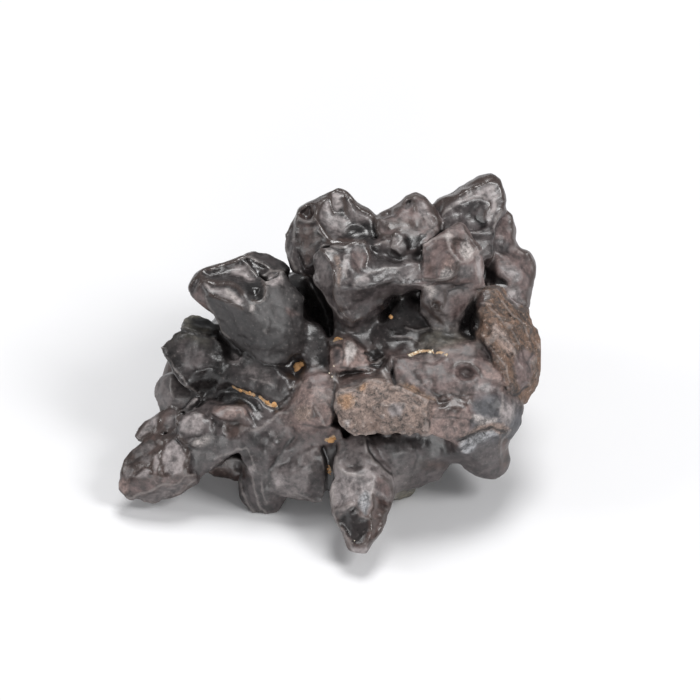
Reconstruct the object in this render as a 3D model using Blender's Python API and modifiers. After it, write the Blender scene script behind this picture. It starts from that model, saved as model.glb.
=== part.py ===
"""A limonite concretion: blunt, worn crystals grown into one dark, knobbly stone.

The stone shows a broad face that leans back from the ground. Its lumps are laid out on that
face in millimetres, as (across, rise, out): across runs to the right, rise runs up the leaning
face, and out points away from the stone, square to the face. The lumps of the far side and the
underside are given over the ground instead, as (across, back, up). Each lump is the convex
solid around its worn corners, and the stone is what they fuse into.
"""

from dataclasses import dataclass
import math

import bmesh
import bpy
from mathutils import Matrix, Vector

NAME = "limonite_concretion"
STONE = "concretion"

# Driving dimensions, in millimetres and degrees
MM = 0.001
FACE_LEAN = 50.0
FACE_FORWARD = 1.5
FACE_UP = 17.8
FUSE_GRAIN = 0.42
CREASE_FILL = 7
CREASE_FILL_STRENGTH = 0.5
SKIN_GROWTH = 0.12
WORN_FOOT = 0.5
FACES_KEPT = 9400
HOLLOW_SEGMENTS = 20
HOLLOW_RINGS = 12
GROUND_HALF_WIDTH = 60.0

# How a far-side knob swells from its root to its blunt end: share of length, share of width
KNOB_RINGS = ((0.0, 0.8), (0.66, 1.0))
KNOB_SIDES = 6
KNOB_FLATNESS = 0.85
KNOB_UNEVEN = 0.16
KNOB_TILTED_END = 0.10

# Finish: a dark brown-black iron oxide with a low gloss
STONE_COLOUR = (0.040, 0.033, 0.031, 1.0)
STONE_ROUGHNESS = 0.42
STONE_METALLIC = 0.0

RISE_DIRECTION = Vector((0.0, math.cos(math.radians(FACE_LEAN)), math.sin(math.radians(FACE_LEAN))))
OUT_DIRECTION = Vector((0.0, -math.sin(math.radians(FACE_LEAN)), math.cos(math.radians(FACE_LEAN))))
FACE_CENTRE = Vector((0.0, -FACE_FORWARD, FACE_UP))


def face_to_ground(point):
    """Turn (across, rise, out) on the leaning face into (across, back, up) over the ground."""
    across, rise, out = point
    return FACE_CENTRE + Vector((across, 0.0, 0.0)) + rise * RISE_DIRECTION + out * OUT_DIRECTION


def ground_to_face(point):
    """Turn (across, back, up) over the ground into (across, rise, out) on the leaning face."""
    offset = Vector(point) - FACE_CENTRE
    return Vector((offset.x, offset.dot(RISE_DIRECTION), offset.dot(OUT_DIRECTION)))


@dataclass(frozen=True)
class Lump:
    """One worn crystal, by its corners on the leaning face.

    A root repeats the corners, shrunk by stem, around a point inside the stone, so that the
    lump grows out of it. The under corners are given over the ground.
    """

    name: str
    corners: tuple
    root: tuple = ()
    stem: float = 0.7
    under: tuple = ()

    def points(self):
        """The corners that the lump's solid wraps, on the leaning face."""
        points = [Vector(corner) for corner in self.corners]
        points += [ground_to_face(corner) for corner in self.under]
        if self.root:
            middle = sum(points, Vector()) / len(points)
            points += [Vector(self.root) + self.stem * (point - middle) for point in points]
        return points


@dataclass(frozen=True)
class Knob:
    """A blunt six-sided crystal of the far side, from its root to its tip over the ground.

    Sines of the corner, the ring and the turn make each knob uneven in its own way.
    """

    name: str
    root: tuple
    tip: tuple
    width: float
    turn: float
    taper: float = 0.5

    def points(self):
        """The corners of the knob's three uneven rings, on the leaning face."""
        root = ground_to_face(self.root)
        length = (ground_to_face(self.tip) - root).length
        along = (ground_to_face(self.tip) - root).normalized()
        across = Vector((0.0, 0.0, 1.0)) if abs(along.z) < 0.8 else Vector((0.0, 1.0, 0.0))
        side = along.cross(across).normalized()
        third = along.cross(side)
        points = []
        for ring, (share, swell) in enumerate((*KNOB_RINGS, (1.0, self.taper))):
            for corner in range(KNOB_SIDES):
                angle = self.turn + 2 * math.pi * (corner + 0.5 * (ring % 2)) / KNOB_SIDES
                uneven = 1 + KNOB_UNEVEN * math.sin(3 * corner + 5 * ring + 7 * self.turn)
                tilt = KNOB_TILTED_END * math.sin(2 * corner + ring + self.turn) if share == 1.0 else 0.0
                reach = self.width * swell * uneven
                points.append(
                    root
                    + along * length * (share + tilt)
                    + side * reach * math.cos(angle)
                    + third * reach * KNOB_FLATNESS * math.sin(angle)
                )
        return points


@dataclass(frozen=True)
class Hollow:
    """A rounded hollow worn into the leaning face: centre, half sizes and turn in the face."""

    name: str
    centre: tuple
    half_sizes: tuple
    turn: float = 0.0


LUMPS = (
    Lump("body_left", corners=(
        (-21, -6.5, 0), (-22.5, -1, -1.5), (-19, -12.5, 1.5), (-13, -15, 3), (-8.5, -16, 3.4),
        (-4, -15, 4.5), (-17, 2, 1.5), (-12, 6, 0), (-4, 5, 1), (-3, -3, 5.5), (-6, -6, 6),
        (-10, -8, 4.6), (-14, -9, 4.4), (-2, -11, 6.5),
    ), under=(
        (-15, -6, 6), (-6, -8, 4), (-14, 6, 5), (-17, 8, 12), (-13, 14, 16), (-4, 12, 5), (-3, 12, 22),
        (2, 10, 16), (2, -6, 5),
    )),
    Lump("body_right", corners=(
        (-2, -12, 6), (0, -3, 5), (4, -4, 6.5), (9, -3, 7.5), (16, -3, 8.5), (21, -3, 8), (25, -4, 4),
        (25.5, -11, 1.5), (22, -14, 2), (14, -14.5, 3), (6, -14.5, 4.5), (24.5, 3, 0.5), (23, 8, 0),
        (14, 7, 1.4), (8, 6, 1.2), (2, 4, 1),
    ), under=(
        (8, -6, 5), (16, -5, 5), (21, 4, 6), (22, 9, 12), (14, 13, 6), (13, 15, 18), (2, 14, 8),
        (0, 12, 20), (20, 8, 20),
    )),
    Lump("body_top", corners=(
        (-4, 12, 0), (5, 18, -2.2), (13, 18, -2.2), (20, 18, -2), (23.5, 16, -2), (23.5, 9, -1),
        (14, 8, 1.6), (6, 8, 1.6), (0, 7, 0),
    ), under=(
        (-3.5, 11, 29.5), (-2, 14, 18), (12, 16, 22), (18, 12, 22), (4, 12, 12), (2, 10, 28),
        (18, 6, 28),
    )),
    Lump("left_knob_tip", root=(-11, 6, -3), stem=0.5, corners=(
        (-20.1, 9, 3), (-19.2, 10.2, 3), (-18.3, 11.1, 1.4), (-16.5, 12, 1.5), (-12.7, 13.1, 1.5),
        (-9.5, 10.2, 4.5), (-12.2, 9, 6.5), (-18.3, 9.2, 5), (-19.8, 7.4, 3.5), (-18.6, 6.2, 2.5),
        (-16.6, 4.9, 3.5), (-17.3, 7.2, 6), (-12.3, 6.2, 9),
    )),
    Lump("left_knob_body", root=(-8, 1, -2), stem=0.6, corners=(
        (-17.2, 6.9, 5.8), (-16.1, 3.6, 4.5), (-15.1, 1.6, 4), (-12.8, -0.2, 4.5), (-10.8, -1.7, 5),
        (-8.8, -2.4, 5.5), (-7, -2.1, 5.5), (-12.4, 6.1, 9), (-9.6, 2.6, 9.6), (-9, 9.4, 7.5),
        (-6.4, 11.4, 4.5), (-9.6, 10.2, 4.5), (-3.9, 4.4, 5.6), (-3.8, 7.4, 4.2), (-4.4, 0.2, 5.6),
        (-6, 2, 8.6), (-5, 8.5, 5.2),
    )),
    Lump("left_knob_back", root=(-8, 5, -6), stem=0.7, corners=(
        (-12.7, 13.1, 1), (-11.4, 13.9, -1.5), (-9.4, 13.8, -2), (-7, 13, -2), (-5.6, 11.6, -1),
        (-9, 10.5, 3), (-6.5, 9, 2.5), (-12, 10, -4),
    )),
    Lump("flat_crystal", root=(-14, -3, -3), stem=0.7, corners=(
        (-24, 0.5, 1.5), (-21.9, 2.7, 1), (-17.7, 2.2, 3), (-15.5, 1.4, 3), (-14.8, -1.9, 4),
        (-18.9, -2.9, 4.8), (-20.8, -5, 3.8), (-22.4, -3.1, 2.8), (-16.2, -5.2, 2.4), (-18, -6.6, 1.8),
    )),
    Lump("flat_crystal_cap", root=(-14, 1, -5), stem=0.8, corners=(
        (-21.2, 3.3, 0.2), (-20.8, 4.3, -0.5), (-20.1, 4.9, -1), (-18.7, 4.9, -1.2), (-17, 4.1, -0.8),
        (-15.9, 3.3, 0), (-17.8, 2, 2.6), (-16, 2.2, 2.2), (-20.8, 2.8, 1.3),
    )),
    Lump("rear_left_lump", root=(-16, -5, -5), stem=0.8, corners=(
        (-22.8, -2.8, -2), (-24.3, -3.3, -2.5), (-25.4, -5, -2.5), (-25.7, -6.1, -2.5),
        (-25.1, -7.3, -2.2), (-24.1, -8.8, -2), (-22.8, -3.4, -0.2), (-22.7, -6.4, 0.8),
        (-20.5, -8.6, 0.5), (-19.4, -6.3, 0.8),
    )),
    Lump("splinter", corners=(
        (-21.1, -8.3, 1.2), (-20.3, -8.9, 1.4), (-18.5, -7, 2.6), (-19.1, -6.4, 2.4),
        (-20.2, -7.8, 2.4), (-19, -6.9, 3.1), (-19.5, -8.4, -1), (-17.8, -7, 0),
    )),
    Lump("arm_tip", root=(-22, -15.5, -3), stem=0.55, corners=(
        (-30.3, -19.5, 2), (-29.7, -18, 2.6), (-29.4, -16.6, 2.4), (-28.6, -14.6, 1.8),
        (-26.6, -12.6, 1.8), (-24, -12.3, 2.6), (-23.4, -13.4, 4.2), (-20.4, -14, 5.2),
        (-20.2, -17.6, 5.6), (-28, -18.4, 4.2), (-24, -18.4, 5.2), (-29.8, -20.2, 2.2),
        (-29, -21.3, 1.8), (-28.2, -21.7, 1.6), (-25.4, -22, 1.4), (-22.8, -21.4, 1.2),
        (-20.4, -20.1, 1.6), (-27, -20.3, 3.4), (-23, -19.2, 4.6), (-18.6, -18.7, 2.6),
    )),
    Lump("arm_root", root=(-13, -10, -4), stem=0.6, corners=(
        (-23.4, -13.2, 3), (-22.2, -10.2, 2.6), (-19.5, -8.6, 3.2), (-17.4, -7.5, 3.2),
        (-15, -6.8, 3.6), (-12, -7.4, 4.6), (-10.6, -10.5, 6.2), (-11.5, -13.6, 6.6), (-13.8, -15.3, 5),
        (-16.5, -16.7, 4), (-18.2, -18.2, 3.2), (-20.5, -18.4, 4), (-20.9, -15, 5.4), (-18, -13, 6.2),
        (-14, -11, 6.8), (-15, -9, 5.6),
    )),
    Lump("arm_shoulder", root=(-19, -11, -3), stem=0.8, corners=(
        (-27.9, -12.3, 0), (-27.3, -11, -0.2), (-26, -9.8, -0.4), (-23.8, -8.6, -0.2), (-22.4, -8.1, 0),
        (-21, -8.4, 0.8), (-24.4, -10, 1.4), (-25.4, -12.2, 1.8), (-27.4, -13.4, 0.8), (-22, -11, 2.2),
    )),
    Lump("arm_nub", root=(-13, -9.5, 0), stem=0.8, corners=(
        (-16.6, -9, 6.2), (-15, -8, 6), (-13, -7.7, 6.2), (-11.8, -8.6, 6.4), (-11.7, -9.9, 6.6),
        (-15.2, -10, 6.8), (-14.4, -9, 7.2), (-12.6, -8.8, 7.3),
    )),
    Lump("arm_mid", root=(-17, -12, 0), stem=0.8, corners=(
        (-21.6, -9.2, 4), (-18.4, -8.8, 4.8), (-16.9, -10.4, 6), (-17.2, -12.2, 6.6),
        (-19.2, -13.8, 6.4), (-21.6, -12.6, 5), (-19.6, -11, 6),
    )),
    Lump("under_arch", root=(-13, -14, -7), stem=0.8, corners=(
        (-17.3, -17.5, -4.5), (-16.2, -16, -3.5), (-14.4, -14.9, -3), (-11.5, -16.4, -2.5),
        (-10.8, -18.2, -2.5), (-12.2, -18.9, -4), (-14.5, -18.9, -5.2), (-16.2, -18.5, -5.2),
    )),
    Lump("leg", root=(-9, -14, -3), stem=0.5, corners=(
        (-12.9, -18.2, 0.5), (-13, -20.5, 0.2), (-12.6, -21.9, 0), (-11.6, -23.1, 0.2),
        (-10.8, -23.8, 0.4), (-8.4, -24.1, 0.8), (-7.1, -23.3, 1.2), (-6.5, -22, 1.4), (-5.4, -20, 1.8),
        (-7.4, -17.4, 4.8), (-9, -21.5, 3.4), (-10.4, -19.5, 4), (-11, -17, 5), (-12, -16, 4.4),
        (-10.2, -22.4, 2.4),
    )),
    Lump("ridge_block", root=(-8, -11, -2), stem=0.7, corners=(
        (-12, -11.2, 6.3), (-9.6, -10.7, 7.5), (-7.6, -9.2, 7.5), (-5.6, -8.6, 7.2), (-4.3, -10.2, 7.4),
        (-4.2, -13.4, 6.7), (-6.8, -14.2, 6.2), (-8.2, -17.4, 5.4), (-10.2, -18.6, 4.6),
        (-12.4, -15.8, 5.6), (-12.4, -13, 6.4), (-8.8, -12.6, 8), (-9, -16, 7),
    )),
    Lump("low_block", root=(-4, -14, -2), stem=0.6, corners=(
        (-6.6, -14, 5.6), (-4, -13.4, 6.6), (-1.7, -13.8, 6.9), (-0.9, -15.2, 6.4), (-0.6, -16.6, 6.2),
        (-0.5, -18.4, 5.8), (-0.6, -20.2, 5.4), (-0.5, -22, 4.4), (-1.6, -22.1, 4.2), (-3.2, -21.2, 4),
        (-5, -20.4, 3.6), (-6.6, -20.4, 3.2), (-8.2, -18.6, 4.6), (-8, -16.6, 5.4), (-4.2, -17.5, 7.6),
    )),
    Lump("crack_floor", root=(0, -14, -2), stem=0.8, corners=(
        (-1.8, -14.2, 4.6), (1.6, -14.2, 4.8), (1.4, -17.6, 4.2), (1, -20.4, 3.2), (-1.4, -20.4, 3),
        (-1.6, -17.6, 4),
    )),
    Lump("mid_left_upper", root=(-10, -4, -2), stem=0.7, corners=(
        (-16, -2.6, 4.8), (-13, -1.2, 5), (-8, -2.4, 6.2), (-6, -4.2, 7), (-7, -6.8, 6.8),
        (-10, -5.9, 6.4), (-13.4, -5.1, 5.6), (-16.4, -4.6, 4.4), (-11, -3.8, 7),
    )),
    Lump("mid_left_low", root=(-10, -8, -1), stem=0.7, corners=(
        (-15.5, -6.2, 4.6), (-12.5, -6.6, 5.2), (-9.5, -7.4, 6.2), (-7.6, -8.9, 6.8),
        (-9.6, -10.8, 6.6), (-12.5, -11, 6.4), (-15.8, -9, 5.4),
    )),
    Lump("centre_brown", root=(-2, -6, -2), stem=0.7, corners=(
        (-6.2, -8.8, 7.4), (-5, -6.2, 8.2), (-4.3, -4.6, 8), (-2.8, -3.5, 7.8), (-0.8, -3.1, 7.8),
        (0.8, -4, 8.2), (1.4, -6, 9.4), (1.2, -8, 10.2), (0, -9.6, 10.4), (-0.6, -11.2, 9.8),
        (-4.6, -10.8, 8.6), (-2.2, -7.4, 10.8), (-3.4, -9.2, 10.4),
    )),
    Lump("centre_brown_low", root=(-1, -11, 1), stem=0.7, corners=(
        (-5, -12.6, 7), (-4.4, -10.8, 8.4), (-0.6, -11, 9.4), (1.2, -11.2, 9.4), (2, -12, 8.8),
        (1.2, -13.3, 7.8), (-0.6, -13.7, 7.4), (-3.4, -13.8, 7),
    )),
    Lump("centre_knob", root=(3, -2, 0), stem=0.8, corners=(
        (-0.2, -1, 6.5), (0.3, 0.5, 6), (1.6, 0.2, 7.2), (2.8, 1.2, 6.2), (4.5, 0.1, 6.2),
        (5.4, -1, 6.6), (5.3, -2.2, 7.6), (2.4, -2.6, 9.2), (1.6, -1.6, 9), (0.2, -2.6, 7.6),
    )),
    Lump("centre_step", root=(4, -4, 0), stem=0.8, corners=(
        (0.6, -3.2, 8), (5, -2.6, 8.4), (8.6, -2.4, 8.2), (9, -5.4, 10.8), (5, -5.2, 11),
        (1.4, -6.2, 11), (0.8, -5, 9.2), (5, -4, 10),
    )),
    Lump("shelf_plate", corners=(
        (0.8, -8.4, 12), (1, -6.1, 11.6), (2.2, -5.2, 11.4), (4.5, -4.5, 11.2), (6.1, -4.1, 11.2),
        (13.8, -6.9, 12.4), (14.4, -10, 13), (14.2, -11.7, 12.6), (10.2, -11.1, 12.8),
        (8.5, -12.1, 12.4), (7.5, -11.9, 12.4), (4, -11.5, 12.2), (2.5, -11.3, 12.2), (1.3, -9.8, 12.2),
        (6, -8, 13.6), (11, -8.6, 14), (2, -8, 8.5), (8, -10.2, 8.5), (13, -9, 8), (8, -5, 7),
    ), under=(
        (9, -13.5, 21.5),
    )),
    Lump("shelf_body", root=(16, -3, 0), stem=0.75, corners=(
        (8.7, -1.4, 8.4), (10.2, -1, 8.2), (13, -0.6, 8), (16.6, -0.7, 7.4), (19.6, 0.3, 7),
        (22.6, 1.8, 6.2), (25.4, -2, 7.2), (26.2, -5, 6.4), (26.6, -7, 5.2), (8.8, -5.2, 11),
        (13.5, -5.6, 11.8), (11, -3.2, 11), (17, -5.2, 11.6), (20, -6.4, 11.2), (23, -5.4, 10),
        (21.5, -2, 9.6), (24.2, -7.6, 8.8), (14, -10.5, 10),
    )),
    Lump("shelf_front", root=(17, -9, 2), stem=0.6, corners=(
        (14, -8, 12.6), (14.6, -12, 11.8), (16.6, -12.3, 11.2), (18.3, -13.5, 10.2), (16.5, -8.2, 13),
        (20, -8.8, 12.4), (20, -11.4, 11.6), (14.5, -7, 10), (19, -7, 11),
    )),
    Lump("right_corner", root=(20, -9, 0), stem=0.75, corners=(
        (19.2, -7, 11), (23.8, -6.6, 10.2), (26.4, -6.7, 7), (27.4, -7.8, 5), (27.3, -9.6, 4.6),
        (26.4, -11.8, 4.6), (25.6, -12.8, 5.4), (23.4, -12.2, 8), (20.6, -11.6, 9.8),
        (18.2, -13.2, 9.8), (24.8, -9.6, 9.8), (21.5, -9.8, 10.8), (18, -14.4, 8.4),
    )),
    Lump("right_knob", root=(21, -12, -1), stem=0.6, corners=(
        (17.6, -15.2, 5), (18.8, -16.6, 4.2), (20, -17.8, 3.4), (21, -18.4, 3), (23.2, -18.8, 2.8),
        (25.1, -17.9, 2.4), (25.9, -16.2, 2.2), (25.7, -14, 3), (25.8, -12.4, 4.4), (22.4, -12.4, 8.2),
        (19.6, -15, 7.8), (17.8, -13.6, 8.4), (23.8, -14.2, 7), (22, -16.5, 6.4),
    )),
    Lump("rough_flake", root=(22, 0, 0), stem=0.75, corners=(
        (20.2, 7.6, 5.5), (20.9, 9.3, 4.2), (22.6, 9.9, 3.6), (24.2, 9.2, 3.2), (25.3, 7.6, 3),
        (27.8, 5.9, 2.2), (29, 4.4, 1.4), (30, 2, 1), (30.3, 0, 1), (29.4, -1, 1.2), (29.6, -3.6, 1.4),
        (28.7, -5.2, 2), (28.4, -6.3, 2.6), (27.4, -7.4, 3.6), (25.8, -6.4, 7.2), (25, -4.4, 8.6),
        (24.2, -1.6, 9.2), (22.6, 0.8, 8.4), (21.5, 2.4, 7.8), (21, 5.5, 7.2), (25, 3, 7.6),
        (27, -2, 6.4),
    )),
    Lump("under_shelf", root=(11, -13, -3), stem=0.7, corners=(
        (4.6, -12.4, 7.4), (9, -11.5, 7.6), (14, -11.5, 7), (18.4, -13.4, 6.8), (18.2, -15.6, 4.6),
        (17.3, -16.6, 4), (16.4, -17.9, 3.2), (15.6, -18.5, 2.6), (14.8, -18.4, 2.6), (12.8, -18, 2.8),
        (9, -17.6, 6), (8.6, -20.8, 5.2), (7, -15, 8.4), (12, -15, 6.6),
    )),
    Lump("under_shelf_toe", root=(10, -17, -2), stem=0.9, corners=(
        (8.8, -20.9, 3.2), (11, -20.4, 2), (12.4, -19.8, 0.6), (12.9, -18.4, 0.4), (13, -17.4, 1.2),
        (9, -18, 5), (10.8, -18.2, 4.2), (9.2, -21.2, -2.8), (11.4, -20.9, -3), (12.4, -19.6, -3.6),
        (9.6, -20, -4.6),
    )),
    Lump("lip_scrap", root=(16, -14.5, 0), stem=1.2, corners=(
        (16.9, -16.6, 1.5), (17.8, -16.4, 1.4), (18.1, -15.2, 2), (16.8, -15, 2.5),
    )),
    Lump("spike_root", root=(4, -14, 0), stem=0.7, corners=(
        (0.8, -13.8, 8.4), (2.6, -12, 8.6), (5, -11.9, 8.4), (5.4, -13.6, 9.2), (7.6, -16.4, 9.4),
        (8.9, -17.4, 8.4), (6.2, -17.6, 10.4), (4.8, -17.9, 11.2), (1.4, -17.3, 10.4), (0.6, -15.4, 9),
        (0.2, -18, 9),
    )),
    Lump("spike_mid", root=(5, -17.5, 4), stem=0.6, corners=(
        (0.2, -17.4, 9.2), (1.6, -16.8, 10.8), (4.6, -17.4, 11.4), (6.2, -16.8, 10.8),
        (8.9, -17.6, 8.6), (9.5, -20.6, 7.8), (9.2, -21.5, 8), (8.7, -22.6, 8.6), (6.6, -19.6, 11.6),
        (5.2, -21.2, 12.8), (-0.1, -19.8, 9.2), (-0.2, -21.8, 9.4), (0, -23.3, 9.8), (1.6, -23.4, 12),
        (3.2, -22, 13),
    )),
    Lump("spike_tip", root=(4.5, -22, 6.5), stem=0.6, corners=(
        (0.2, -23, 10), (2.6, -22, 12.8), (4.6, -21.6, 13.2), (5.8, -23.4, 13.2), (5.8, -26.8, 13.6),
        (4.8, -27.7, 13.8), (2.7, -27, 13), (1.3, -25, 11.4), (2.5, -28.1, 12.2), (3.1, -28.7, 12),
        (5.3, -28.7, 12.2), (5.8, -27.8, 12.4), (7.5, -25.2, 11.2), (7.7, -23.6, 11), (8.9, -22.2, 9.4),
        (6.4, -21, 12.2),
    )),
    Lump("a_side", root=(-1, 12, -5), stem=0.7, corners=(
        (-6.4, 12.6, 0), (-6.7, 14.2, -0.6), (-6.6, 16, -1), (-6, 17.1, -1.4), (-5, 18.5, -1.8),
        (-5.6, 11.2, 1.2), (-4.2, 10.9, 2.4), (-5.4, 14.2, 1.6), (-4, 17, 0.6),
    )),
    Lump("a_main", root=(2, 13, -7), stem=0.6, corners=(
        (-4.9, 18.6, -1), (-4.4, 20.3, -2), (-2.2, 21.5, -2.6), (-0.4, 21.9, -2.6), (1.2, 23, -3),
        (2.1, 22.8, -3.2), (3.4, 21.6, -3), (5.3, 20.4, -2.6), (6.6, 18.6, -2), (6.6, 16, -1),
        (-4.8, 14.6, 1.6), (-3.7, 11.6, 3), (-2.2, 12.6, 4), (-0.8, 15, 4.6), (-1.8, 18.6, 2.4),
        (-2.4, 20.2, 0.2), (-4.6, 18.3, 0.8), (0, 15.6, 4.2), (4.2, 15.2, 4), (6.6, 14.6, 3),
    )),
    Lump("b_front", root=(3, 9, -1), stem=0.7, corners=(
        (-2.4, 13.6, 6), (-0.6, 14.6, 6.6), (2, 14.6, 6.8), (3.2, 15.1, 6.6), (4.6, 15.1, 6.2),
        (5.4, 12, 7.4), (-2.7, 11, 6.2), (-2.3, 9.6, 6.4), (-1.1, 8.3, 7.2), (0, 6.2, 7.2),
        (1.2, 4.7, 7), (2.4, 3.8, 6.8), (3.4, 3.5, 6.6), (5.7, 5.6, 6.4), (7.3, 7, 6.2), (10.8, 9, 6.2),
        (0.4, 11, 9.8), (0.7, 9, 10), (4.6, 9.3, 9.8), (3.4, 12.5, 8.8),
    )),
    Lump("saddle", root=(8, 9, -2), stem=0.7, corners=(
        (4.8, 12, 6.8), (7.4, 11.3, 6.8), (10, 11.5, 6.6), (13.4, 12.8, 6.8), (13.6, 9.4, 8.2),
        (9, 9.2, 8.4), (4.8, 9, 9.4), (6.8, 9.8, 8.8), (10.5, 8.4, 6.2),
    )),
    Lump("c_top", root=(11, 13, -6), stem=0.65, corners=(
        (6.6, 18.8, -1.6), (7.4, 19.7, -2), (8.4, 20.1, -2.2), (9.9, 20.4, -2.2), (10.5, 21.5, -2.6),
        (11.6, 22.4, -2.8), (13.2, 22.4, -2.8), (14.1, 21.3, -2.6), (15.1, 20, -2), (16.2, 17.4, -0.4),
        (13.6, 19, 1.8), (12, 20.4, 1.2), (10.2, 19.8, 1.4), (7.4, 18.4, 1.4), (6.6, 16.6, 1.6),
        (8.2, 15, 3.4), (9.6, 13.6, 4.4), (12, 15.2, 3.6), (15, 16.2, 2.8),
    )),
    Lump("c_foot", root=(11, 13, -6), stem=0.8, corners=(
        (8.2, 14.3, 5.4), (9.2, 16.3, 4.4), (10.5, 16.3, 4.4), (11.1, 14.6, 5), (9.8, 13.4, 5.6),
        (9.6, 14.6, 5.8),
    )),
    Lump("d_block", root=(17, 11, -1), stem=0.7, corners=(
        (13, 14.9, 6.4), (14.6, 16, 5.8), (16.3, 16.5, 5.6), (17.6, 17.5, 4.8), (18.4, 18.1, 4.2),
        (19, 17.7, 4.2), (20.5, 15.5, 5), (21.6, 14.3, 5.2), (21.6, 12.8, 5.8), (21.9, 11, 5.6),
        (21.8, 9.2, 5.8), (20.4, 11, 7.4), (18.3, 12.6, 8.8), (17, 14.4, 8.2), (18.2, 11.2, 9),
        (17.5, 10.2, 8.8), (15.5, 9.9, 9.2), (12.9, 9.7, 8.2), (17.6, 8.6, 7.2), (20, 8.6, 6.2),
        (13, 12, 7.8),
    )),
    Lump("d_stem", root=(16, 6, -1), stem=0.7, corners=(
        (12.7, 9.2, 7.2), (15, 9.6, 7.8), (16.8, 8.9, 7.6), (20.4, 8.6, 5.8), (20, 7, 5.6),
        (18.8, 4.6, 5.2), (17.8, 2.6, 4.8), (16.6, 2.3, 5), (14.4, 3.5, 5.2), (12.7, 5.4, 5.4),
        (12.6, 7, 6.6), (15.6, 6, 7.8), (14.2, 8, 8.2), (17.4, 6, 7.4),
    )),
    Lump("e_wedge", root=(19, 14, -7), stem=0.65, corners=(
        (14.8, 20.5, -4), (15.9, 21.7, -5), (18.3, 22.9, -5.6), (20, 24.2, -6), (21.6, 25, -6),
        (23.2, 25.4, -5.6), (24, 25, -5), (25.2, 22.8, -3.8), (25.3, 21.2, -3), (24.8, 19.6, -2),
        (23.6, 17.6, -0.6), (22, 23.9, -2.8), (18.4, 21.8, -1.8), (16.6, 19.8, -1.2), (15.5, 18, -0.6),
        (17, 16.4, 1), (20, 16.6, 2), (22.6, 16.4, 1.2), (23.8, 21, -1.2),
    )),
    Lump("e_stem", root=(18, 12, -4), stem=0.8, corners=(
        (17, 18, 0), (20, 17.5, 1.6), (23.4, 17, 0.8), (23.4, 13, 1), (21, 12, 2.6), (17, 14, 2.4),
    )),
    Lump("f_upper", root=(21, 13, -7), stem=0.75, corners=(
        (23.4, 17.8, -2.2), (24.8, 20.1, -4.2), (25.8, 19.2, -4.4), (26.3, 17.6, -4.4),
        (26.5, 15.4, -4), (26.4, 13.8, -3), (22.4, 16, -0.4), (22.8, 13, 0.2), (25.4, 16.4, -1.6),
    )),
    Lump("f_lower", root=(21, 8, -6), stem=0.75, corners=(
        (25.6, 15.2, -4), (27, 14.6, -4), (28.5, 14.1, -4), (29.1, 13, -3.8), (29.4, 11.6, -3.4),
        (29.3, 10, -3), (28.8, 7.4, -2), (28.2, 5.8, -1), (24.6, 6.2, 1.4), (24.8, 9.2, 1),
        (25, 11.4, 0.6), (23, 13.6, 0.2), (26.8, 12.8, -0.2), (27.2, 8.6, 0.8),
    )),
    Lump("neck", root=(4, 3, -3), stem=0.9, corners=(
        (0.6, 5.2, 4.6), (6.6, 6.4, 4.2), (7.6, 1.2, 4.4), (5.6, 0, 5.4), (0.8, 0.8, 4.6), (3, 3, 5.8),
    )),
    Lump("recess_lump", root=(12, 5, -4), stem=0.9, corners=(
        (9.1, 3.2, 2.8), (11, 2.7, 3.6), (13, 3, 3.4), (13.4, 6.4, 3), (11.2, 7.4, 2.8),
        (10.4, 5.2, 3.2),
    )),
    Lump("lip", root=(11, 0, -2), stem=0.9, corners=(
        (7.6, 1.9, 4.2), (10, 1.7, 4.8), (12, 1.6, 4.8), (13.6, 0.7, 5.4), (13.2, -0.6, 6.4),
        (8.4, -1.2, 6.6), (7.2, 0.2, 5.4),
    )),
    Lump("olive_lump", root=(16, 0, 0), stem=0.8, corners=(
        (13, 0.2, 6), (13.6, 1.8, 5.4), (15.2, 2.6, 5.2), (17.6, 2.3, 4.6), (19.4, 1, 5.2),
        (17.4, -0.6, 7), (14, -0.7, 7.2), (15.4, 0.8, 6.8),
    )),
    Knob("rear_left_knob", root=(-5, 4, 15), tip=(-14, 14, 14), width=5.5, turn=0.4),
    Knob("rear_left_low", root=(-6, 2, 12), tip=(-13, 13, 1.4), width=6, turn=1.1, taper=0.6),
    Knob("rear_mid_knob", root=(3, 6, 18), tip=(0, 20, 21), width=5.5, turn=0.2),
    Knob("rear_mid_low", root=(0, 4, 14), tip=(-1, 21, 9), width=6.5, turn=0.9),
    Knob("rear_right_knob", root=(10, 6, 18), tip=(11, 21, 19), width=6.5, turn=0.7),
    Knob("rear_right_low", root=(9, 2, 12), tip=(15, 14, 1.4), width=6.5, turn=0.3, taper=0.6),
    Knob("rear_far_right", root=(15, 2, 16), tip=(26, 9, 15), width=6, turn=1.4),
    Knob("low_left_side", root=(-10, -2, 12), tip=(-23, 4, 9), width=5.5, turn=0.3),
    Knob("rear_right_side", root=(14, -2, 11), tip=(22, 1, 5), width=5, turn=0.6),
    Knob("low_mid_lump", root=(4, -2, 10), tip=(3, 5, 3.6), width=6.5, turn=0.5, taper=0.6),
)

HOLLOWS = (
    Hollow("pit_of_left_knob", (-10.2, 8.3, 8), (1.3, 1.7, 2.6), turn=-0.3),
    Hollow("hole_in_shelf", (19.2, -3.2, 11.4), (1.7, 1.1, 2)),
    Hollow("crater_of_top_knob", (-3.2, 19.3, 1.2), (1.2, 1, 1.5)),
    Hollow("gap_under_top_knob", (4, 17.2, 4.6), (3.2, 2.2, 3.6), turn=0.2),
    Hollow("gap_between_knobs", (8, 13.4, 7.2), (3.2, 1.7, 3.4)),
    Hollow("top_face_of_left_knob", (-15.6, 11.4, 6.2), (4.2, 1.5, 3), turn=0.1),
    Hollow("face_of_right_top_knob", (21, 20.2, 1.4), (2.6, 3.4, 2.6), turn=-0.5),
)


def clear_scene():
    """Remove everything that a new scene starts with."""
    for thing in list(bpy.data.objects):
        bpy.data.objects.remove(thing)


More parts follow.
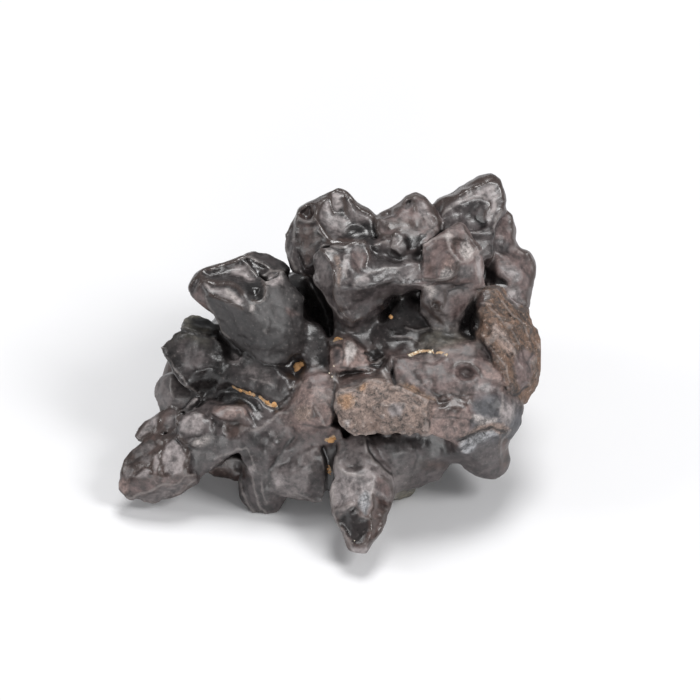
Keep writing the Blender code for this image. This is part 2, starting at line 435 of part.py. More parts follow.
def new_collection(name):
    """Add a collection to the scene."""
    collection = bpy.data.collections.new(name)
    bpy.context.scene.collection.children.link(collection)
    return collection


def convex_solid(points):
    """The convex solid around points of the leaning face, as a bmesh in metres."""
    solid = bmesh.new()
    for point in points:
        solid.verts.new(face_to_ground(point) * MM)
    wrapped = bmesh.ops.convex_hull(solid, input=solid.verts)
    loose = {item for item in wrapped["geom_interior"] if isinstance(item, bmesh.types.BMVert)}
    bmesh.ops.delete(solid, geom=list(loose), context="VERTS")
    bmesh.ops.recalc_face_normals(solid, faces=solid.faces)
    return solid


def overlapping_lumps(lumps):
    """All the lumps' solids in one mesh, still overlapping."""
    mesh = bpy.data.meshes.new(STONE)
    together = bmesh.new()
    for lump in lumps:
        solid = convex_solid(lump.points())
        solid.to_mesh(mesh)
        solid.free()
        together.from_mesh(mesh)
    together.to_mesh(mesh)
    together.free()
    return mesh


def hide_as_cutter(cutter, collection, parent):
    """Keep a cutter out of the model, moving with the stone that it cuts."""
    collection.objects.link(cutter)
    cutter.parent = parent
    cutter.display_type = "WIRE"
    cutter.hide_render = True


def hollow_cutters(hollows):
    """All the hollows in one mesh of ellipsoids, in metres."""
    mesh = bpy.data.meshes.new("hollows")
    together = bmesh.new()
    face_frame = Matrix((Vector((1, 0, 0)), RISE_DIRECTION, OUT_DIRECTION)).transposed().to_4x4()
    for hollow in hollows:
        place = Matrix.Translation(face_to_ground(hollow.centre) * MM)
        turned = face_frame @ Matrix.Rotation(hollow.turn, 4, "Z")
        size = Matrix.Diagonal((*(MM * half for half in hollow.half_sizes), 1.0))
        bmesh.ops.create_uvsphere(
            together,
            u_segments=HOLLOW_SEGMENTS,
            v_segments=HOLLOW_RINGS,
            radius=1.0,
            matrix=place @ turned @ size,
        )
    together.to_mesh(mesh)
    together.free()
    return bpy.data.objects.new("hollows", mesh)


def ground_cutter():
    """A block whose top is where the feet are worn flat."""
    half = GROUND_HALF_WIDTH * MM
    mesh = bpy.data.meshes.new("ground")
    block = bmesh.new()
    bmesh.ops.create_cube(block, size=2 * half)
    bmesh.ops.translate(block, verts=block.verts, vec=(0, 0, WORN_FOOT * MM - half))
    block.to_mesh(mesh)
    block.free()
    return bpy.data.objects.new("ground", mesh)


def add_cut(stone, name, cutter):
    """Cut the cutter's shape out of the stone."""
    cut = stone.modifiers.new(name, "BOOLEAN")
    cut.operation = "DIFFERENCE"
    cut.object = cutter


def fuse(stone):
    """Fuse the overlapping lumps into one skin."""
    grain = stone.modifiers.new("fuse", "REMESH")
    grain.mode = "VOXEL"
    grain.voxel_size = FUSE_GRAIN * MM


def soften(stone):
    """Fill the creases between lumps and round their edges, then give back the lost skin."""
    wear = stone.modifiers.new("wear", "SMOOTH")
    wear.factor = CREASE_FILL_STRENGTH
    wear.iterations = CREASE_FILL
    growth = stone.modifiers.new("growth", "DISPLACE")
    growth.strength = SKIN_GROWTH * MM
    growth.mid_level = 0.0


def lighten(stone):
    """Keep only as many faces as the stone's lumps need."""
    bpy.context.view_layer.update()
    fine = stone.evaluated_get(bpy.context.evaluated_depsgraph_get())
    faces = sum(len(face.vertices) - 2 for face in fine.data.polygons)
    fewer = stone.modifiers.new("fewer_faces", "DECIMATE")
    fewer.ratio = FACES_KEPT / faces
    fewer.use_collapse_triangulate = True


def stand_on_origin(stone):
    """Put the middle of the stone's footprint, at the height of its feet, on the origin."""
    bpy.context.view_layer.update()
    worn = stone.evaluated_get(bpy.context.evaluated_depsgraph_get())
    corners = [Vector(corner) for corner in worn.bound_box]
    low = [min(corner[axis] for corner in corners) for axis in range(3)]
    high = [max(corner[axis] for corner in corners) for axis in range(3)]
    stone.location = (-(low[0] + high[0]) / 2, -(low[1] + high[1]) / 2, -low[2])
    bpy.context.view_layer.update()


def iron_oxide():
    """The stone's material."""
    material = bpy.data.materials.new("iron_oxide")
    material.use_nodes = True
    shader = material.node_tree.nodes["Principled BSDF"]
    shader.inputs["Base Color"].default_value = STONE_COLOUR
    shader.inputs["Roughness"].default_value = STONE_ROUGHNESS
    shader.inputs["Metallic"].default_value = STONE_METALLIC
    return material


def build_concretion():
    """Make the stone from its lumps, hollows and worn feet."""
    clear_scene()
    parts = new_collection(NAME)
    cutters = new_collection("cutters")
    stone = bpy.data.objects.new(STONE, overlapping_lumps(LUMPS))
    stone.data.materials.append(iron_oxide())
    parts.objects.link(stone)
    hollows = hollow_cutters(HOLLOWS)
    ground = ground_cutter()
    hide_as_cutter(hollows, cutters, stone)
    hide_as_cutter(ground, cutters, stone)
    fuse(stone)
    add_cut(stone, "hollows", hollows)
    soften(stone)
    lighten(stone)
    add_cut(stone, "worn_feet", ground)
    stand_on_origin(stone)
    stone.data.shade_smooth()
    return stone


build_concretion()
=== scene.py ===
"""The finished look of a limonite concretion: its worn skin, its iron oxide and its clay.

The stone shows a broad face that leans back from the ground. Its lumps, facets, ridges and
cracks are laid out on that face in millimetres, as (across, rise, out): across runs to the
right, rise runs up the leaning face, and out points away from the stone, square to the face.
The lumps of the far side and the underside are given over the ground, as (across, back, up).
"""

import sys
import logging
import math
from dataclasses import dataclass, field
from enum import Enum

import bmesh
import bpy
import numpy as np
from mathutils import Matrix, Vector


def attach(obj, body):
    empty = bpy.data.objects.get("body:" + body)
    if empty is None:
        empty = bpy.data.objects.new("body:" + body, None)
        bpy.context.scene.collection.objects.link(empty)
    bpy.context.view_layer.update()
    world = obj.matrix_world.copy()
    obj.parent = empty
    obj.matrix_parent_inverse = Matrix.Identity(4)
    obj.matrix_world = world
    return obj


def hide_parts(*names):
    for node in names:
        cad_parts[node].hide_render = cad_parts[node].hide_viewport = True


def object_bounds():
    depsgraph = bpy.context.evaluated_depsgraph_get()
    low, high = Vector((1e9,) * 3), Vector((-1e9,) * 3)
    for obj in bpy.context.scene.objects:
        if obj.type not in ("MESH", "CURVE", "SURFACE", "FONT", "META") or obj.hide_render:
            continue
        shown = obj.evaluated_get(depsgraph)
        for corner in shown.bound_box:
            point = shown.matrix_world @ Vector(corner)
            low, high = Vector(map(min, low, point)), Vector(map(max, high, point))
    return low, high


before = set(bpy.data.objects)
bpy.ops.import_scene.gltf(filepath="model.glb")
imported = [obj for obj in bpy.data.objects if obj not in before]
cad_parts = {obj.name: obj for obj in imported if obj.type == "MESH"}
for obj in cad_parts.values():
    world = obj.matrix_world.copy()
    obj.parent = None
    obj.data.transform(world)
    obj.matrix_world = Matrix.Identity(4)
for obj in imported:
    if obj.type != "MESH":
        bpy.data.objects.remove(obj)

LOG = logging.getLogger("concretion")
CAD_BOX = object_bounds()

# The leaning face, in millimetres and degrees
MM = 0.001
FACE_LEAN = 50.0
FACE_CENTRE = (0.08, 2.19, 17.3)
RISE_BACK = math.cos(math.radians(FACE_LEAN))
RISE_UP = math.sin(math.radians(FACE_LEAN))


class Tint(Enum):
    """The hues of the iron oxide, some of them laid as painted light and shade: linear red, green and blue, then gloss
    loss and unevenness.
    """

    # The blackest tint is painted shade, laid in pits, gaps, the crack floor, faces turned from the light and under
    # overhangs
    JET = (0.008, 0.006, 0.006, 0.00, 0.30)
    BLACK = (0.016, 0.012, 0.012, 0.00, 0.30)
    SLATE = (0.029, 0.023, 0.023, 0.06, 0.40)
    SOOT = (0.036, 0.032, 0.032, 0.42, 0.50)
    LEAD = (0.060, 0.049, 0.049, 0.13, 0.50)
    GREY = (0.122, 0.104, 0.102, 0.20, 0.60)
    # The pale grey is partly the stone's own pale skin and partly painted highlight on dished and upward facets
    PALE = (0.245, 0.215, 0.212, 0.25, 0.45)
    # The whitish tint is partly dust and partly painted highlight on the brightest facets and ridges
    CHALK = (0.40, 0.36, 0.345, 0.60, 0.60)
    BROWN = (0.058, 0.036, 0.031, 0.12, 0.60)
    MAUVE = (0.116, 0.080, 0.075, 0.40, 0.80)
    ROSE = (0.203, 0.141, 0.126, 0.50, 0.90)
    ROUGH = (0.203, 0.148, 0.124, 0.85, 1.25)
    TAN = (0.29, 0.170, 0.098, 0.80, 0.80)
    RUST = (0.124, 0.071, 0.045, 0.80, 1.50)
    BLUISH = (0.056, 0.056, 0.063, 0.45, 0.90)
    OLIVE = (0.115, 0.106, 0.082, 0.60, 1.10)
    DRUSE = (0.25, 0.25, 0.26, 0.90, 1.60)


def read_points(text: str) -> np.ndarray:
    """Read points written as numbers with commas between the points, one point to a row."""
    return np.array([[float(number) for number in point.split()] for point in text.split(",")])


def read_rows(text: str) -> list:
    """Read a table: on each row some words, a colon and points. An indented line goes on with its
    row, and a line that starts with # is a heading."""
    lines = text.strip().replace("\n  ", "").splitlines()
    rows = [line.split(":") for line in lines if not line.startswith("#")]
    return [(words.split(), read_points(points)) for words, points in rows]


def face_to_ground(points: np.ndarray) -> np.ndarray:
    """Turn (across, rise, out) on the leaning face into (across, back, up) over the ground.

    Args:
        points: An array of points in millimetres, one to a row.

    Returns:
        The same points over the ground, in millimetres.
    """
    across, rise, out = points[:, 0], points[:, 1], points[:, 2]
    back = rise * RISE_BACK - out * RISE_UP
    up = rise * RISE_UP + out * RISE_BACK
    return np.stack([across, back, up], axis=1) + np.array(FACE_CENTRE)


def ground_to_face(points: np.ndarray) -> np.ndarray:
    """Turn (across, back, up) over the ground into (across, rise, out) on the leaning face.

    Args:
        points: An array of points in millimetres, one to a row.

    Returns:
        The same points on the leaning face, in millimetres.
    """
    across, back, up = (points - np.array(FACE_CENTRE)).T
    rise = back * RISE_BACK + up * RISE_UP
    out = -back * RISE_UP + up * RISE_BACK
    return np.stack([across, rise, out], axis=1)


@dataclass(frozen=True)
class Lump:
    """One worn crystal, by its corners on the leaning face.

    A root repeats the corners, shrunk by stem, around a point inside the stone, so that the
    lump grows out of it. The under corners are given over the ground.
    """

    name: str
    tint: Tint
    edge: float
    blend: float
    corners: str
    root: tuple = ()
    stem: float = 0.7
    under: str = ""

    def points(self) -> np.ndarray:
        """The corners that the lump's solid wraps, on the leaning face."""
        points = read_points(self.corners)
        if self.under:
            points = np.concatenate([points, ground_to_face(read_points(self.under) + SHIFT)])
        if self.root:
            shrunk = np.array(self.root) + self.stem * (points - points.mean(axis=0))
            points = np.concatenate([points, shrunk])
        return points


@dataclass(frozen=True)
class Knob:
    """A blunt six-sided crystal of the far side, from its root to its tip over the ground."""

    name: str
    tint: Tint
    root: tuple
    tip: tuple
    width: float
    turn: float
    taper: float = 0.5
    edge: float = 0.5
    blend: float = 0.9

    def points(self) -> np.ndarray:
        """The corners of the knob's three uneven rings, on the leaning face."""
        root, tip = ground_to_face(np.array([self.root, self.tip], dtype=float) + SHIFT)
        length = np.linalg.norm(tip - root)
        along = (tip - root) / length
        across = np.array([0.0, 0.0, 1.0]) if abs(along[2]) < 0.8 else np.array([0.0, 1.0, 0.0])
        side = np.cross(along, across)
        side /= np.linalg.norm(side)
        third = np.cross(along, side)
        rings = []
        corner = np.arange(KNOB_SIDES)
        for ring, (share, swell) in enumerate((*KNOB_RINGS, (1.0, self.taper))):
            angle = self.turn + 2 * math.pi * (corner + 0.5 * (ring % 2)) / KNOB_SIDES
            reach = self.width * swell * (1 + KNOB_UNEVEN * np.sin(3 * corner + 5 * ring + 7 * self.turn))
            tilt = KNOB_TILTED_END * np.sin(2 * corner + ring + self.turn) * (share == 1.0)
            rings.append(
                root
                + np.outer(length * (share + tilt), along)
                + np.outer(reach * np.cos(angle), side)
                + np.outer(reach * KNOB_FLATNESS * np.sin(angle), third)
            )
        return np.concatenate(rings)


@dataclass(frozen=True)
class Hollow:
    """A rounded hollow worn into the leaning face: centre, half sizes and turn in the face."""

    name: str
    centre: tuple
    half_sizes: tuple
    turn: float = 0.0
    blend: float = 0.5


@dataclass(frozen=True)
class Stroke:
    """A ridge or a crack along points of the leaning face; a negative height cuts in."""

    height: float
    width: float
    route: np.ndarray

    @staticmethod
    def read_all(text: str) -> tuple:
        """Read strokes from rows of height, width and route."""
        return tuple(Stroke(float(height), float(width), route) for (height, width), route in read_rows(text))


@dataclass(frozen=True)
class Patch:
    """An outline on the leaning face whose inside has its own tint and may be raised or dished.

    A positive rise lifts the inside like a tile with worn edges, and a negative one dishes it,
    so that its outline is left standing as a rim.
    """

    tint: Tint
    rise: float
    edge: float
    outline: np.ndarray

    @staticmethod
    def read_all(text: str) -> tuple:
        """Read patches from rows of tint, rise, edge width and outline."""
        rows = read_rows(text)
        return tuple(Patch(Tint[tint], float(rise), float(edge), outline) for (tint, rise, edge), outline in rows)


# How a far-side knob swells from its root to its blunt end: share of length, share of width
KNOB_RINGS = ((0.0, 0.8), (0.66, 1.0))
KNOB_SIDES = 6
KNOB_FLATNESS = 0.85
KNOB_UNEVEN = 0.16
KNOB_TILTED_END = 0.10
# From the place where the lumps over the ground were laid out to the stone's own footprint
SHIFT = np.array([0.08, 3.69, -0.5])

# The crystals and knobs, in the order in which they grow together
LUMPS = (
    Lump("body_left", Tint.BLACK, edge=1.2, blend=2.0, corners=
        "-21 -6.5 0,-22.5 -1 -1.5,-19 -12.5 1.5,-13 -15 3,-8.5 -16 3.4,-4 -15 4.5,-17 2 1.5,-12 6 0,-4 5 1,-3 -3 5.5,"
        "-6 -6 6,-10 -8 4.6,-14 -9 4.4,-2 -11 6.5",
        under=
        "-15 -6 6,-6 -8 4,-14 6 5,-17 8 12,-13 14 16,-4 12 5,-3 12 22,2 10 16,2 -6 5"
    ),
    Lump("body_right", Tint.BLACK, edge=1.2, blend=2.0, corners=
        "-2 -12 6,0 -3 5,4 -4 6.5,9 -3 7.5,16 -3 8.5,21 -3 8,25 -4 4,25.5 -11 1.5,22 -14 2,14 -14.5 3,6 -14.5 4.5,"
        "24.5 3 0.5,23 8 0,14 7 1.4,8 6 1.2,2 4 1",
        under=
        "8 -6 5,16 -5 5,21 4 6,22 9 12,14 13 6,13 15 18,2 14 8,0 12 20,20 8 20"
    ),
    Lump("body_top", Tint.BLACK, edge=1.2, blend=2.0, corners=
        "-4 12 0,5 18 -2.2,13 18 -2.2,20 18 -2,23.5 16 -2,23.5 9 -1,14 8 1.6,6 8 1.6,0 7 0",
        under=
        "-3.5 11 29.5,-2 14 18,12 16 22,18 12 22,4 12 12,2 10 28,18 6 28"
    ),
    Lump("left_knob_tip", Tint.SLATE, edge=0.25, blend=0.4, root=(-11, 6, -3), stem=0.5, corners=
        "-20.1 9 3,-19.2 10.2 3,-18.3 11.1 1.4,-16.5 12 1.5,-12.7 13.1 1.5,-9.5 10.2 4.5,-12.2 9 6.5,-18.3 9.2 5,"
        "-19.8 7.4 3.5,-18.6 6.2 2.5,-16.6 4.9 3.5,-17.3 7.2 6,-12.3 6.2 9"
    ),
    Lump("left_knob_body", Tint.SOOT, edge=0.7, blend=0.6, root=(-8, 1, -2), stem=0.6, corners=
        "-17.2 6.9 5.8,-16.1 3.6 4.5,-15.1 1.6 4,-12.8 -0.2 4.5,-10.8 -1.7 5,-8.8 -2.4 5.5,-7 -2.1 5.5,-12.4 6.1 9,"
        "-9.6 2.6 9.6,-9 9.4 7.5,-6.4 11.4 4.5,-9.6 10.2 4.5,-3.9 4.4 5.6,-3.8 7.4 4.2,-4.4 0.2 5.6,-6 2 8.6,-5 8.5 5.2"
    ),
    Lump("left_knob_back", Tint.SLATE, edge=0.4, blend=0.4, root=(-8, 5, -6), stem=0.7, corners=
        "-12.7 13.1 1,-11.4 13.9 -1.5,-9.4 13.8 -2,-7 13 -2,-5.6 11.6 -1,-9 10.5 3,-6.5 9 2.5,-12 10 -4"
    ),
    Lump("flat_crystal", Tint.BLACK, edge=0.2, blend=0.35, root=(-14, -3, -3), stem=0.7, corners=
        "-24 0.5 1.5,-21.9 2.7 1,-17.7 2.2 3,-15.5 1.4 3,-14.8 -1.9 4,-18.9 -2.9 4.8,-20.8 -5 3.8,-22.4 -3.1 2.8,"
        "-16.2 -5.2 2.4, -18 -6.6 1.8"
    ),
    Lump("flat_crystal_cap", Tint.OLIVE, edge=0.3, blend=1.2, root=(-14, 1, -5), stem=0.8, corners=
        "-21.2 3.3 0.2,-20.8 4.3 -0.5,-20.1 4.9 -1,-18.7 4.9 -1.2,-17 4.1 -0.8,-15.9 3.3 0,-17.8 2 2.6,-16 2.2 2.2,"
        "-20.8 2.8 1.3"
    ),
    Lump("rear_left_lump", Tint.GREY, edge=0.35, blend=0.4, root=(-16, -5, -5), stem=0.8, corners=
        "-22.8 -2.8 -2,-24.3 -3.3 -2.5,-25.4 -5 -2.5,-25.7 -6.1 -2.5,-25.1 -7.3 -2.2,-24.1 -8.8 -2,-22.8 -3.4 -0.2,"
        "-22.7 -6.4 0.8,-20.5 -8.6 0.5,-19.4 -6.3 0.8"
    ),
    Lump("splinter", Tint.PALE, edge=0.12, blend=0.25, corners=
        "-21.1 -8.3 1.2,-20.3 -8.9 1.4,-18.5 -7 2.6,-19.1 -6.4 2.4,-20.2 -7.8 2.4,-19 -6.9 3.1,-19.5 -8.4 -1,-17.8 -7 0"
    ),
    Lump("arm_tip", Tint.BROWN, edge=0.35, blend=0.6, root=(-22, -15.5, -3), stem=0.55, corners=
        "-30.3 -19.5 2,-29.7 -18 2.6,-29.4 -16.6 2.4,-28.6 -14.6 1.8,-26.6 -12.6 1.8,-24 -12.3 2.6,-23.4 -13.4 4.2,"
        "-20.4 -14 5.2,-20.2 -17.6 5.6,-28 -18.4 4.2,-24 -18.4 5.2,-29.8 -20.2 2.2,-29 -21.3 1.8,-28.2 -21.7 1.6,"
        "-25.4 -22 1.4,-22.8 -21.4 1.2,-20.4 -20.1 1.6,-27 -20.3 3.4,-23 -19.2 4.6,-18.6 -18.7 2.6"
    ),
    Lump("arm_root", Tint.LEAD, edge=0.6, blend=1.2, root=(-13, -10, -4), stem=0.6, corners=
        "-23.4 -13.2 3,-22.2 -10.2 2.6,-19.5 -8.6 3.2,-17.4 -7.5 3.2,-15 -6.8 3.6,-12 -7.4 4.6,-10.6 -10.5 6.2,"
        "-11.5 -13.6 6.6,-13.8 -15.3 5,-16.5 -16.7 4,-18.2 -18.2 3.2,-20.5 -18.4 4,-20.9 -15 5.4,-18 -13 6.2,-14 -11 6.8,"
        "-15 -9 5.6"
    ),
    Lump("arm_shoulder", Tint.BROWN, edge=0.3, blend=0.5, root=(-19, -11, -3), stem=0.8, corners=
        "-27.9 -12.3 0,-27.3 -11 -0.2,-26 -9.8 -0.4,-23.8 -8.6 -0.2,-22.4 -8.1 0,-21 -8.4 0.8,-24.4 -10 1.4,"
        "-25.4 -12.2 1.8,-27.4 -13.4 0.8,-22 -11 2.2"
    ),
    Lump("arm_nub", Tint.ROSE, edge=0.25, blend=0.6, root=(-13, -9.5, 0), stem=0.8, corners=
        "-16.6 -9 6.2,-15 -8 6,-13 -7.7 6.2,-11.8 -8.6 6.4,-11.7 -9.9 6.6,-15.2 -10 6.8,-14.4 -9 7.2,-12.6 -8.8 7.3"
    ),
    Lump("arm_mid", Tint.LEAD, edge=0.35, blend=0.8, root=(-17, -12, 0), stem=0.8, corners=
        "-21.6 -9.2 4,-18.4 -8.8 4.8,-16.9 -10.4 6,-17.2 -12.2 6.6,-19.2 -13.8 6.4,-21.6 -12.6 5,-19.6 -11 6"
    ),
    Lump("under_arch", Tint.BROWN, edge=0.35, blend=0.4, root=(-13, -14, -7), stem=0.8, corners=
        "-17.3 -17.5 -4.5,-16.2 -16 -3.5,-14.4 -14.9 -3,-11.5 -16.4 -2.5,-10.8 -18.2 -2.5,-12.2 -18.9 -4,-14.5 -18.9 -5.2,"
        "-16.2 -18.5 -5.2"
    ),
    Lump("leg", Tint.LEAD, edge=0.35, blend=1.4, root=(-9, -14, -3), stem=0.5, corners=
        "-12.9 -18.2 0.5,-13 -20.5 0.2,-12.6 -21.9 0,-11.6 -23.1 0.2,-10.8 -23.8 0.4,-8.4 -24.1 0.8,-7.1 -23.3 1.2,"
        "-6.5 -22 1.4,-5.4 -20 1.8,-7.4 -17.4 4.8,-9 -21.5 3.4,-10.4 -19.5 4,-11 -17 5,-12 -16 4.4,-10.2 -22.4 2.4"
    ),
    Lump("ridge_block", Tint.LEAD, edge=0.4, blend=1.6, root=(-8, -11, -2), stem=0.7, corners=
        "-12 -11.2 6.3,-9.6 -10.7 7.5,-7.6 -9.2 7.5,-5.6 -8.6 7.2,-4.3 -10.2 7.4,-4.2 -13.4 6.7,-6.8 -14.2 6.2,"
        "-8.2 -17.4 5.4,-10.2 -18.6 4.6,-12.4 -15.8 5.6,-12.4 -13 6.4,-8.8 -12.6 8,-9 -16 7"
    ),
    Lump("low_block", Tint.GREY, edge=0.35, blend=1.4, root=(-4, -14, -2), stem=0.6, corners=
        "-6.6 -14 5.6,-4 -13.4 6.6,-1.7 -13.8 6.9,-0.9 -15.2 6.4,-0.6 -16.6 6.2,-0.5 -18.4 5.8,-0.6 -20.2 5.4,-0.5 -22 4.4,"
        "-1.6 -22.1 4.2,-3.2 -21.2 4,-5 -20.4 3.6,-6.6 -20.4 3.2,-8.2 -18.6 4.6,-8 -16.6 5.4,-4.2 -17.5 7.6"
    ),
    # A black lump that fills the crack between the low block and the spike: painted shade in the crack
    Lump("crack_floor", Tint.JET, edge=0.5, blend=0.6, root=(0, -14, -2), stem=0.8, corners=
        "-1.8 -13.6 6.2,1.6 -13.6 6.4,1.4 -17.6 5.4,1 -20.6 4.4,-1.4 -20.6 4.2,-1.6 -17.6 5.2"
    ),
    Lump("mid_left_upper", Tint.SLATE, edge=1.3, blend=2.6, root=(-10, -4, -2), stem=0.7, corners=
        "-16 -2.6 4.8,-13 -1.2 5,-8 -2.4 6.2,-6 -4.2 7,-7 -6.8 6.8,-10 -5.9 6.4,-13.4 -5.1 5.6,-16.4 -4.6 4.4,-11 -3.8 7"
    ),
    Lump("mid_left_low", Tint.LEAD, edge=1.0, blend=2.2, root=(-10, -8, -1), stem=0.7, corners=
        "-15.5 -6.2 4.6,-12.5 -6.6 5.2,-9.5 -7.4 6.2,-7.6 -8.9 6.8,-9.6 -10.8 6.6,-12.5 -11 6.4,-15.8 -9 5.4"
    ),
    Lump("centre_brown", Tint.ROSE, edge=0.8, blend=1.8, root=(-2, -6, -2), stem=0.7, corners=
        "-6.2 -8.8 7.4,-5 -6.2 8.2,-4.3 -4.6 8,-2.8 -3.5 7.8,-0.8 -3.1 7.8,0.8 -4 8.2,1.4 -6 9.4,1.2 -8 10.2,0 -9.6 10.4,"
        "-0.6 -11.2 9.8,-4.6 -10.8 8.6,-2.2 -7.4 10.8,-3.4 -9.2 10.4"
    ),
    Lump("centre_brown_low", Tint.MAUVE, edge=0.6, blend=1.6, root=(-1, -11, 1), stem=0.7, corners=
        "-5 -12.6 7,-4.4 -10.8 8.4,-0.6 -11 9.4,1.2 -11.2 9.4,2 -12 8.8,1.2 -13.3 7.8,-0.6 -13.7 7.4,-3.4 -13.8 7"
    ),
    Lump("centre_knob", Tint.ROSE, edge=0.3, blend=0.8, root=(3, -2, 0), stem=0.8, corners=
        "-0.2 -1 6.5,0.3 0.5 6,1.6 0.2 7.2,2.8 1.2 6.2,4.5 0.1 6.2,5.4 -1 6.6,5.3 -2.2 7.6,2.4 -2.6 9.2,1.6 -1.6 9,"
        "0.2 -2.6 7.6"
    ),
    Lump("centre_step", Tint.SLATE, edge=0.6, blend=1.6, root=(4, -4, 0), stem=0.8, corners=
        "0.6 -3.2 8,5 -2.6 8.4,8.6 -2.4 8.2,9 -5.4 10.8,5 -5.2 11,1.4 -6.2 11,0.8 -5 9.2,5 -4 10"
    ),
    Lump("shelf_plate", Tint.ROUGH, edge=0.25, blend=0.35, corners=
        "0.8 -8.4 12,1 -6.1 11.6,2.2 -5.2 11.4,4.5 -4.5 11.2,6.1 -4.1 11.2,13.8 -6.9 12.4,14.4 -10 13,14.2 -11.7 12.6,"
        "10.2 -11.1 12.8,8.5 -12.1 12.4,7.5 -11.9 12.4,4 -11.5 12.2,2.5 -11.3 12.2,1.3 -9.8 12.2,6 -8 13.6,11 -8.6 14,"
        "2 -8 8.5,8 -10.2 8.5,13 -9 8,8 -5 7",
        under=
        "9 -13.5 21.5"
    ),
    Lump("shelf_body", Tint.MAUVE, edge=0.7, blend=1.0, root=(16, -3, 0), stem=0.75, corners=
        "8.7 -1.4 8.4,10.2 -1 8.2,13 -0.6 8,16.6 -0.7 7.4,19.6 0.3 7,22.6 1.8 6.2,25.4 -2 7.2,26.2 -5 6.4,26.6 -7 5.2,"
        "8.8 -5.2 11,13.5 -5.6 11.8,11 -3.2 11,17 -5.2 11.6,20 -6.4 11.2,23 -5.4 10,21.5 -2 9.6,24.2 -7.6 8.8,14 -10.5 10"
    ),
    Lump("shelf_front", Tint.ROSE, edge=0.5, blend=1.5, root=(17, -9, 2), stem=0.6, corners=
        "14 -8 12.6,14.6 -12 11.8,16.6 -12.3 11.2,18.3 -13.5 10.2,16.5 -8.2 13,20 -8.8 12.4,20 -11.4 11.6,14.5 -7 10,"
        "19 -7 11"
    ),
    Lump("right_corner", Tint.BLUISH, edge=0.5, blend=1.5, root=(20, -9, 0), stem=0.75, corners=
        "19.2 -7 11,23.8 -6.6 10.2,26.4 -6.7 7,27.4 -7.8 5,27.3 -9.6 4.6,26.4 -11.8 4.6,25.6 -12.8 5.4,23.4 -12.2 8,"
        "20.6 -11.6 9.8,18.2 -13.2 9.8,24.8 -9.6 9.8,21.5 -9.8 10.8,18 -14.4 8.4"
    ),
    Lump("right_knob", Tint.LEAD, edge=0.6, blend=1.0, root=(21, -12, -1), stem=0.6, corners=
        "17.6 -15.2 5,18.8 -16.6 4.2,20 -17.8 3.4,21 -18.4 3,23.2 -18.8 2.8,25.1 -17.9 2.4,25.9 -16.2 2.2,25.7 -14 3,"
        "25.8 -12.4 4.4,22.4 -12.4 8.2,19.6 -15 7.8,17.8 -13.6 8.4,23.8 -14.2 7,22 -16.5 6.4"
    ),
    Lump("rough_flake", Tint.RUST, edge=0.25, blend=0.35, root=(22, 0, 0), stem=0.75, corners=
        "20.2 7.6 5.5,20.9 9.3 4.2,22.6 9.9 3.6,24.2 9.2 3.2,25.3 7.6 3,27.8 5.9 2.2,29 4.4 1.4,30 2 1,30.3 0 1,"
        "29.4 -1 1.2,29.6 -3.6 1.4,28.7 -5.2 2,28.4 -6.3 2.6,27.4 -7.4 3.6,25.8 -6.4 7.2,25 -4.4 8.6,24.2 -1.6 9.2,"
        "22.6 0.8 8.4,21.5 2.4 7.8,21 5.5 7.2,25 3 7.6,27 -2 6.4"
    ),
    Lump("under_shelf", Tint.LEAD, edge=0.5, blend=1.4, root=(11, -13, -3), stem=0.7, corners=
        "4.6 -12.4 7.4,9 -11.5 7.6,14 -11.5 7,18.4 -13.4 6.8,18.2 -15.6 4.6,17.3 -16.6 4,16.4 -17.9 3.2,15.6 -18.5 2.6,"
        "14.8 -18.4 2.6,12.8 -18 2.8,9 -17.6 6,8.6 -20.8 5.2,7 -15 8.4,12 -15 6.6"
    ),
    Lump("under_shelf_toe", Tint.OLIVE, edge=0.25, blend=0.35, root=(10, -17, -2), stem=0.9, corners=
        "8.8 -20.9 3.2,11 -20.4 2,12.4 -19.8 0.6,12.9 -18.4 0.4,13 -17.4 1.2,9 -18 5,10.8 -18.2 4.2,9.2 -21.2 -2.8,"
        "11.4 -20.9 -3,12.4 -19.6 -3.6,9.6 -20 -4.6"
    ),
    Lump("lip_scrap", Tint.SLATE, edge=0.15, blend=0.3, root=(16, -14.5, 0), stem=1.2, corners=
        "16.9 -16.6 1.5,17.8 -16.4 1.4,18.1 -15.2 2,16.8 -15 2.5"
    ),
    Lump("spike_root", Tint.GREY, edge=0.35, blend=0.8, root=(4, -14, 0), stem=0.7, corners=
        "0.8 -13.8 8.4,2.6 -12 8.6,5 -11.9 8.4,5.4 -13.6 9.2,7.6 -16.4 9.4,8.9 -17.4 8.4,6.2 -17.6 10.4,4.8 -17.9 11.2,"
        "1.4 -17.3 10.4,0.6 -15.4 9,0.2 -18 9"
    ),
    Lump("spike_mid", Tint.PALE, edge=0.25, blend=0.5, root=(5, -17.5, 4), stem=0.6, corners=
        "0.2 -17.4 9.2,1.6 -16.8 10.8,4.6 -17.4 11.4,6.2 -16.8 10.8,8.9 -17.6 8.6,9.5 -20.6 7.8,9.2 -21.5 8,8.7 -22.6 8.6,"
        "6.6 -19.6 11.6,5.2 -21.2 12.8,-0.1 -19.8 9.2,-0.2 -21.8 9.4,0 -23.3 9.8,1.6 -23.4 12,3.2 -22 13"
    ),
    Lump("spike_tip", Tint.BROWN, edge=0.25, blend=0.5, root=(4.5, -22, 6.5), stem=0.6, corners=
        "0.2 -23 10,2.6 -22 12.8,4.6 -21.6 13.2,5.8 -23.4 13.2,5.8 -26.8 13.6,4.8 -27.7 13.8,2.7 -27 13,1.3 -25 11.4,"
        "2.5 -28.1 12.2,3.1 -28.7 12,5.3 -28.7 12.2,5.8 -27.8 12.4,7.5 -25.2 11.2,7.7 -23.6 11,8.9 -22.2 9.4,6.4 -21 12.2"
    ),
    Lump("a_side", Tint.LEAD, edge=0.35, blend=0.35, root=(-1, 12, -5), stem=0.7, corners=
